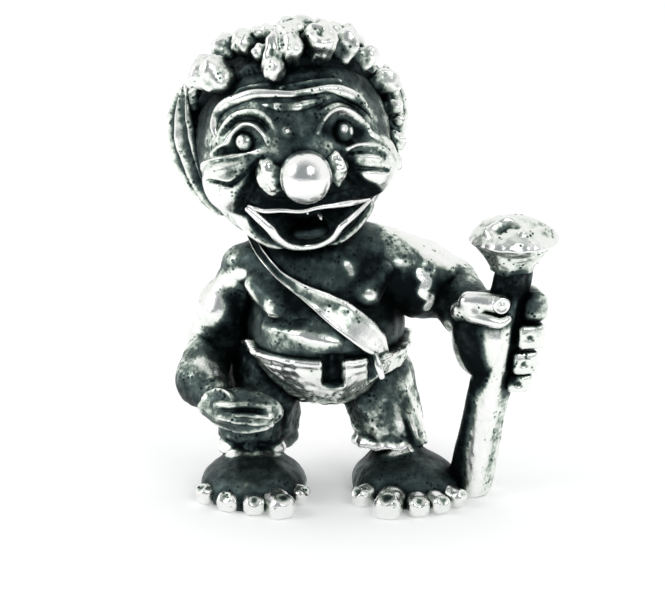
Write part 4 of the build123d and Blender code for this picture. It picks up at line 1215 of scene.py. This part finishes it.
RUBS_AND_PAINTED_LIGHT = (
    # places in the troll's frame, width, darker or (negative) brighter
    (((-2.6, -3.4, 16.4), (0, -3.8, 15.6), (2.2, -3.2, 16.0)), 1.5, 0.15),
    (((-2.0, -4.3, 13.3), (-1.5, -4.5, 12.8)), 0.8, 0.45),
    (((-5.0, -3.3, 13.7), (-4.6, -3.9, 13.1), (-3.9, -4.5, 12.4), (-3.0, -4.8, 12.1)), 0.3, -0.8),
    (((-4.2, -3.8, 13.8), (-3.0, -4.7, 13.2)), 0.8, 0.2), (((-3.9, -4.6, 12.3), (-3.1, -4.8, 12.1)), 0.3, -0.7),
    (((-3.8, -4.5, 13.3), (-3.5, -4.6, 13.1)), 0.35, -0.45),
    (((-3.7, -5.0, 12.0), (-2.4, -5.3, 11.5), (-1.0, -5.4, 11.2), (0.0, -5.4, 11.0)), 0.4, -0.45),
    (((-2.5, -5.3, 11.6), (-2.2, -5.3, 11.3)), 0.35, -0.5),
    (((3.7, -3.5, 14.8), (3.9, -3.7, 13.9), (3.4, -4.2, 13.1), (2.4, -4.5, 12.8)), 0.2, -0.7),
    (((2.8, -4.2, 13.7), (3.4, -4.1, 13.6)), 0.35, -0.6), (((1.4, -3.7, 15.6), (1.7, -3.75, 15.0)), 0.28, -0.6),
    (((2.9, -3.4, 16.4), (4.2, -2.7, 15.5), (5.4, -2.4, 15.2)), 0.32, -0.8),
    (((0.5, -5.0, 10.0), (0.5, -5.0, 8.3)), 0.5, 1.2), (((3.0, -4.6, 9.6), (3.1, -4.6, 8.2)), 0.36, 1.0),
    # darker below the apron's edge: painted shadow of the right hand, and oxide on the top of the right leg
    (((-4.7, -3.8, 8.5), (-3.5, -4.5, 7.3), (-1.9, -4.7, 6.3), (-0.4, -4.5, 5.7)), 0.8, 0.75),
    (((1.6, -4.6, 6.0), (3.6, -4.2, 6.6)), 0.7, 0.6),
    (((-3.9, -4.8, 9.3), (-2.0, -5.5, 8.8), (-0.9, -5.6, 7.8)), 0.9, -0.5),
    (((2.0, -5.4, 8.9), (1.9, -5.3, 7.8), (3.2, -4.8, 7.4)), 0.5, -0.5),
    (((4.3, -4.0, 9.4), (4.6, -3.8, 8.5)), 0.5, -0.5),
    (((-5.0, -2.6, 10.2), (-4.6, -3.2, 9.8), (-2, -5.4, 9.65), (-0.4, -5.7, 9.65)), 0.15, -0.6),
    (((-6.9, -1.0, 13.5), (-6.2, -1.5, 13.9), (-5.2, -1.8, 14.4)), 0.32, -1.0),
    (((-7.3, -1.8, 12.4), (-6.6, -1.9, 12.0)), 0.8, -0.55), (((-8.4, -0.8, 11.4), (-8.8, 0.0, 9.6)), 0.75, -0.5),
    (((-5.9, -1.9, 12.4), (-6.3, -1.4, 10.6), (-6.4, -1.2, 8.8)), 0.75, 0.8),
    (((-8.7, -1.6, 8.3), (-7.6, -2.6, 8.5), (-6.7, -3.0, 8.1)), 0.35, -0.7),
    (((-9.2, -1.2, 6.6), (-8.0, -3.0, 6.4)), 1.0, 0.6), (((-5.4, -3.6, 8.6), (-4.6, -4.2, 8.2)), 0.7, 0.5),
    (((3.6, -2.4, 13.6), (5.4, -2.6, 12.9), (7.4, -2.2, 12.2), (8.6, -2.4, 11.4)), 1.9, 0.75),
    (((6.0, -1.9, 14.4), (6.4, -2.1, 13.9), (6.1, -2.15, 13.3), (6.7, -2.1, 12.8), (6.5, -1.85, 12.2)), 0.3, -1.7),
    # painted light: a painted highlight in two lines along the top of the left arm, then painted shade of the arm on
    # the fist above the thumb
    (((3.6, 0.2, 17.0), (6.0, 0.2, 16.2), (8.0, 0.2, 15.2)), 1.0, -0.5),
    (((6.5, -1.2, 15.6), (8.2, -1.4, 14.8)), 0.4, -0.5), (((10.8, -4.3, 14.2), (12.2, -4.5, 14.1)), 0.9, 0.7),
    (((11.0, -4.9, 15.0), (12.4, -5.0, 15.1)), 0.45, 0.5),
    (((8.8, -4.0, 11.2), (9.2, -4.2, 9.8), (9.5, -4.0, 8.6)), 0.9, 1.0),
    (((7.8, -3.0, 11.3), (7.95, -3.1, 10.6), (8.25, -3.2, 9.9), (8.5, -3.3, 9.0), (9.1, -3.5, 8.2)), 0.4, -1.7),
    (((12.0, -4.0, 12.8), (11.9, -4.1, 10.5), (11.8, -4.0, 8.0)), 0.3, 0.9),
    (((13.1, -4.3, 13.2), (13.2, -4.3, 12.4)), 0.9, 0.3),
    (((9.4, -3.9, 10.0), (8.9, -3.7, 6.0), (8.2, -3.3, 1.0)), 0.45, 0.8),
    (((10.7, -4.6, 11.0), (10.2, -4.5, 6.0), (9.5, -4.2, 1.0)), 0.75, -0.45),
    (((-6.9, -1.7, 2.8), (-5.9, -2.9, 2.6), (-4.7, -3.2, 2.6), (-3.4, -2.9, 2.65), (-2.5, -1.8, 2.8)), 0.28, -1.2),
    (((2.0, -1.6, 3.1), (3.0, -2.8, 2.95), (4.2, -3.2, 2.95), (5.4, -2.9, 3.0)), 0.28, -1.2),
    (((4.8, -2.5, 7.2), (5.1, -2.6, 5.2), (5.55, -2.4, 3.2)), 0.17, 0.9),
    (((5.1, -2.2, 7.2), (5.5, -2.2, 5.2), (5.9, -2.0, 3.4)), 0.14, -0.7),
    (((5.7, -1.2, 6.8), (6.2, -1.0, 4.6), (6.4, -0.8, 3.4)), 0.6, -0.45),
    (((-2.7, -1.9, 5.2), (-2.6, -2.0, 3.2)), 0.17, 0.6), (((3.0, -2.9, 5.0), (2.9, -2.9, 4.0)), 0.3, -0.5),
    (((4.7, -2.9, 5.6), (4.9, -2.8, 4.4)), 0.25, -0.6),
)
# for each reach: height above the skin, blur, how full the space there is over a flat wall, and the weight
FINE, BROAD = (0.12, 0.28, 0.334, 0.42), (0.5, 1.0, 0.309, 0.22)
OXIDE_LEVEL, PLAIN_LEAN = 0.46, 0.05
for name, item in pieces.items():
    points = item["points"]
    oxide_and_painted_light = OXIDE_LEVEL + LEANS.get(name, PLAIN_LEAN) + item["marks"]
    for lift, reach_out, plain, weight in (FINE, BROAD):
        oxide_and_painted_light = oxide_and_painted_light + weight * (around(points + item["normals"] * lift, reach_out) / plain - 1)
    for places, width, change in RUBS_AND_PAINTED_LIGHT:
        oxide_and_painted_light = oxide_and_painted_light + stroke(points, places, width, change, taper=0)
    if name == "head_skin":
        for ways, width, change in FACE_RUBS:
            oxide_and_painted_light = oxide_and_painted_light + stroke(points, HEAD + on_head(ways) @ HEAD_FRAME.T, width, change, taper=0)
        # painted glints: a bright white spot painted on each tooth
        for place in TEETH_WITH_PAINTED_GLINTS:
            oxide_and_painted_light = oxide_and_painted_light + dot(points, at_head(place, -0.7), 0.42, -3.2)
    item["oxide_and_painted_light"] = np.clip(oxide_and_painted_light, 0, 1).astype(np.float32)
    print(name, "oxide_and_painted_light", np.percentile(item["oxide_and_painted_light"], (5, 25, 50, 75, 95)).round(2))

# %% [markdown]
# Oxidised silver.
# One finish runs over the whole figure, from white metal to black, so it is one node group that every material uses.
# The oxide of each point is broken up by noise at two sizes before it becomes a colour: the noise gives the crisp
# speckled border between bright and dark, the pits of the casting hold black, and a few bright nicks cross the dark.

# %% Node helpers and the group
def add(tree, kind, links=(), **settings):
    """A node with its settings, and its inputs linked or set by number or name."""
    node = tree.nodes.new(kind)
    for key, value in settings.items():
        setattr(node, key, value)
    for key, value in dict(links).items():
        if isinstance(value, bpy.types.NodeSocket):
            tree.links.new(value, node.inputs[key])
        else:
            node.inputs[key].default_value = value
    return node


def number(tree, operation, first, second, **settings):
    """The result of a sum on two sockets or numbers."""
    return add(tree, "ShaderNodeMath", {0: first, 1: second}, operation=operation, **settings).outputs[0]


def ramp(node, stops):
    """Sets a colour ramp's stops: a place and a grey or a colour each."""
    while len(node.color_ramp.elements) < len(stops):
        node.color_ramp.elements.new(0.5)
    for element, (place, colour) in zip(node.color_ramp.elements, stops):
        element.position = place
        element.color = (*colour, 1) if isinstance(colour, tuple) else (colour, colour, colour, 1)
    return node


group = bpy.data.node_groups.new("oxidised silver", "ShaderNodeTree")
for name, value in (("Oxide and painted light", 0.5), ("Speckle", 0.3), ("Pits", 0.5), ("Matte", 0.1)):
    socket = group.interface.new_socket(name, in_out="INPUT", socket_type="NodeSocketFloat")
    socket.default_value = value
for name, kind in (("Color", "NodeSocketColor"), ("Roughness", "NodeSocketFloat"), ("Normal", "NodeSocketVector")):
    group.interface.new_socket(name, in_out="OUTPUT", socket_type=kind)
inputs, outputs = group.nodes.new("NodeGroupInput"), group.nodes.new("NodeGroupOutput")
place = add(group, "ShaderNodeTexCoord").outputs["Object"]

speckle = add(group, "ShaderNodeTexNoise", {"Vector": place, "Scale": 1900.0, "Detail": 5.0, "Roughness": 0.68})
cloud = add(group, "ShaderNodeTexNoise", {"Vector": place, "Scale": 420.0, "Detail": 3.0, "Roughness": 0.55})
speck_level = number(group, "SUBTRACT", speckle.outputs["Fac"], 0.5)
speck_share = number(group, "MULTIPLY", speck_level, inputs.outputs["Speckle"])
cloud_level = number(group, "SUBTRACT", cloud.outputs["Fac"], 0.5)
cloud_share = number(group, "MULTIPLY", cloud_level, 0.55)
both = number(group, "ADD", speck_share, cloud_share)
pit_cells = add(group, "ShaderNodeTexVoronoi", {"Vector": place, "Scale": 3300.0, "Randomness": 1.0})
pit_chance = add(group, "ShaderNodeTexNoise", {"Vector": place, "Scale": 1100.0, "Detail": 1.0})
pit_gate = add(group, "ShaderNodeMapRange", {"Value": pit_chance.outputs["Fac"], "From Min": 0.5, "From Max": 0.62})
pit_depth = add(group, "ShaderNodeMapRange",
                {"Value": pit_cells.outputs["Distance"], "From Min": 0.42, "From Max": 0.2})
pit = number(group, "MULTIPLY", pit_depth.outputs[0], pit_gate.outputs[0])
pit_share = number(group, "MULTIPLY", pit, inputs.outputs["Pits"])
broken = number(group, "ADD", inputs.outputs["Oxide and painted light"], both)
level = number(group, "ADD", broken, pit_share, use_clamp=True)
colour = ramp(add(group, "ShaderNodeValToRGB", {"Fac": level}),
              ((0.0, (0.94, 0.94, 0.93)), (0.34, (0.84, 0.87, 0.82)), (0.45, (0.4, 0.47, 0.41)),
               (0.54, (0.105, 0.14, 0.13)), (0.72, (0.045, 0.066, 0.066)), (0.86, (0.02, 0.03, 0.031)),
               (1.0, (0.006, 0.009, 0.01))))
gloss = ramp(add(group, "ShaderNodeValToRGB", {"Fac": level}), ((0.0, 0.1), (0.38, 0.14), (0.55, 0.28), (1.0, 0.42)))
matte = number(group, "ADD", gloss.outputs["Color"], inputs.outputs["Matte"])
grain = add(group, "ShaderNodeTexNoise", {"Vector": place, "Scale": 5200.0, "Detail": 3.0, "Roughness": 0.6})
rough_height = number(group, "MULTIPLY", level, -0.5)
height = number(group, "ADD", grain.outputs["Fac"], rough_height)
bump = add(group, "ShaderNodeBump", {"Strength": 0.5, "Distance": 0.03 * MM, "Height": height})
for name, socket in (("Color", colour.outputs["Color"]), ("Roughness", matte), ("Normal", bump.outputs["Normal"])):
    group.links.new(socket, outputs.inputs[name])

# %% The three finishes
def finish(name, speckle_level, pit_level, matte_level):
    """A material: the attribute of oxide and painted light goes through the group into a metallic Principled shader."""
    material = bpy.data.materials.new(name)
    material.use_nodes = True
    tree = material.node_tree
    shader = tree.nodes["Principled BSDF"]
    oxide_and_painted_light = add(tree, "ShaderNodeAttribute", attribute_name="oxide_and_painted_light")
    silver = add(tree, "ShaderNodeGroup", node_tree=group)
    for socket, value in (("Speckle", speckle_level), ("Pits", pit_level), ("Matte", matte_level)):
        silver.inputs[socket].default_value = value
    tree.links.new(oxide_and_painted_light.outputs["Fac"], silver.inputs["Oxide and painted light"])
    for result, socket in (("Color", "Base Color"), ("Roughness", "Roughness"), ("Normal", "Normal")):
        tree.links.new(silver.outputs[result], shader.inputs[socket])
    shader.inputs["Metallic"].default_value = 1.0
    return material


FINISHES = {"polished_silver": finish("polished silver", 0.6, 0.4, 0.14),
            "cast_silver": finish("cast silver", 0.8, 0.3, 0.16),
            "oxidised_silver": finish("oxidised silver", 0.55, 0.2, 0.1)}
mirror = finish("mirror silver", 0.2, 0.1, 0.07)

# %% [markdown]
# Casting the pieces.
# All the skins are still plain arrays. Here each becomes a mesh, in metres and in the frame's own place, with its
# oxide and painted light as an attribute on its points. It rides on the one body, and stands for its CAD node.

# %% Meshes
def make_mesh(name, item):
    """Fills a mesh from the arrays: points, then four-cornered and three-cornered faces."""
    mesh = bpy.data.meshes.new(name)
    quads, fans = item["quads"], item["fans"]
    corners = np.concatenate([quads.ravel(), fans.ravel()]).astype(np.int32)
    sizes = np.concatenate([np.full(len(quads), 4), np.full(len(fans), 3)])
    mesh.vertices.add(len(item["points"]))
    mesh.vertices.foreach_set("co", (item["points"] * MM + ORIGIN).astype(np.float32).ravel())
    mesh.loops.add(len(corners))
    mesh.loops.foreach_set("vertex_index", corners)
    mesh.polygons.add(len(sizes))
    mesh.polygons.foreach_set("loop_start", (np.cumsum(sizes) - sizes).astype(np.int32))
    mesh.polygons.foreach_set("use_smooth", np.ones(len(sizes), bool))
    mesh.update(calc_edges=True)
    mesh.attributes.new("oxide_and_painted_light", "FLOAT", "POINT").data.foreach_set("value", item["oxide_and_painted_light"])
    return mesh


for name, item in pieces.items():
    thing = bpy.data.objects.new(name, make_mesh(name, item))
    bpy.context.scene.collection.objects.link(thing)
    thing.data.materials.append(mirror if name == "nose_skin" else FINISHES[item["slot"]])
    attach(thing, "root")
    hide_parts(*item["nodes"])
print("pieces", len(pieces))

# %% [markdown]
# Studio.
# The figure stands in a white tent with a hole for the camera. Polished metal shows the tent, so it is white all
# round and grey where the camera looks in, and two round soft boxes make the two bright spots on the nose. The sheet of
# paper under it is overexposed a little, as in the photograph: a faint glow that only the camera and the metal see.

# %% World, floor, lamps and camera
ELEVATION, DISTANCE, LENS, SENSOR = 17, 0.150, 126.7, 36
GLOW, LAMP_SIZE, LAMP_POWER, LAMP_DISTANCE, FLOOR_HALF = 0.17, 0.12, 0.11, 0.25, 2.0
aim = ORIGIN + np.array([0.473, -0.2, 12.05]) * MM
towards = direction(0, ELEVATION)
GREY, WHITE = (0.3, 0.32, 0.33, 1), (1, 1, 1, 1)

world = bpy.data.worlds.new("tent")
bpy.context.scene.world = world
world.use_nodes = True
tree = world.node_tree
tree.nodes.clear()
look = add(tree, "ShaderNodeTexCoord").outputs["Generated"]
nearness = add(tree, "ShaderNodeVectorMath", {0: look, 1: tuple(towards)}, operation="DOT_PRODUCT")
patch = add(tree, "ShaderNodeMapRange", {"Value": nearness.outputs["Value"], "From Min": 0.25, "From Max": 0.75})
tent = add(tree, "ShaderNodeMix", {"Factor": patch.outputs[0]}, data_type="RGBA")
tent.inputs["A"].default_value = WHITE
tent.inputs["B"].default_value = GREY
tent_colour = [socket for socket in tent.outputs if socket.type == "RGBA"][0]
backdrop = add(tree, "ShaderNodeBackground", {"Color": tent_colour, "Strength": 1.0})
add(tree, "ShaderNodeOutputWorld", {"Surface": backdrop.outputs[0]})

floor_mesh = bpy.data.meshes.new("floor")
floor_corners = [(x * FLOOR_HALF, y * FLOOR_HALF, 0) for x, y in ((-1, -1), (1, -1), (1, 1), (-1, 1))]
floor_mesh.from_pydata(floor_corners, [], [(0, 1, 2, 3)])
floor = bpy.data.objects.new("floor", floor_mesh)
bpy.context.scene.collection.objects.link(floor)
paper = bpy.data.materials.new("white paper")
paper.use_nodes = True
sheet = paper.node_tree.nodes["Principled BSDF"]
for socket, value in (("Base Color", WHITE), ("Roughness", 0.9), ("Specular IOR Level", 0.1),
                      ("Emission Color", WHITE)):
    sheet.inputs[socket].default_value = value
ray = add(paper.node_tree, "ShaderNodeLightPath").outputs
seen = number(paper.node_tree, "ADD", ray["Is Camera Ray"], ray["Is Glossy Ray"])
seen = number(paper.node_tree, "ADD", seen, ray["Is Transmission Ray"], use_clamp=True)
glow = number(paper.node_tree, "MULTIPLY", seen, GLOW)
paper.node_tree.links.new(glow, sheet.inputs["Emission Strength"])
floor_mesh.materials.append(paper)

for heading, rise in ((-71, 30), (29, 38)):
    lamp_data = bpy.data.lights.new("soft box", "AREA")
    lamp_data.shape, lamp_data.size, lamp_data.energy = "DISK", LAMP_SIZE, LAMP_POWER
    lamp = bpy.data.objects.new("soft box", lamp_data)
    lamp.location = aim + direction(heading, rise) * LAMP_DISTANCE
    lamp.rotation_euler = (math.radians(90 - rise), 0, math.radians(heading))
    bpy.context.scene.collection.objects.link(lamp)

camera_data = bpy.data.cameras.new("camera")
camera_data.lens, camera_data.sensor_width, camera_data.clip_start = LENS, SENSOR, 0.01
camera = bpy.data.objects.new("camera", camera_data)
camera.location = aim + towards * DISTANCE
camera.rotation_euler = (math.radians(90 - ELEVATION), 0, 0)
bpy.context.scene.collection.objects.link(camera)
bpy.context.scene.camera = camera
bpy.context.scene.view_settings.view_transform = "Standard"
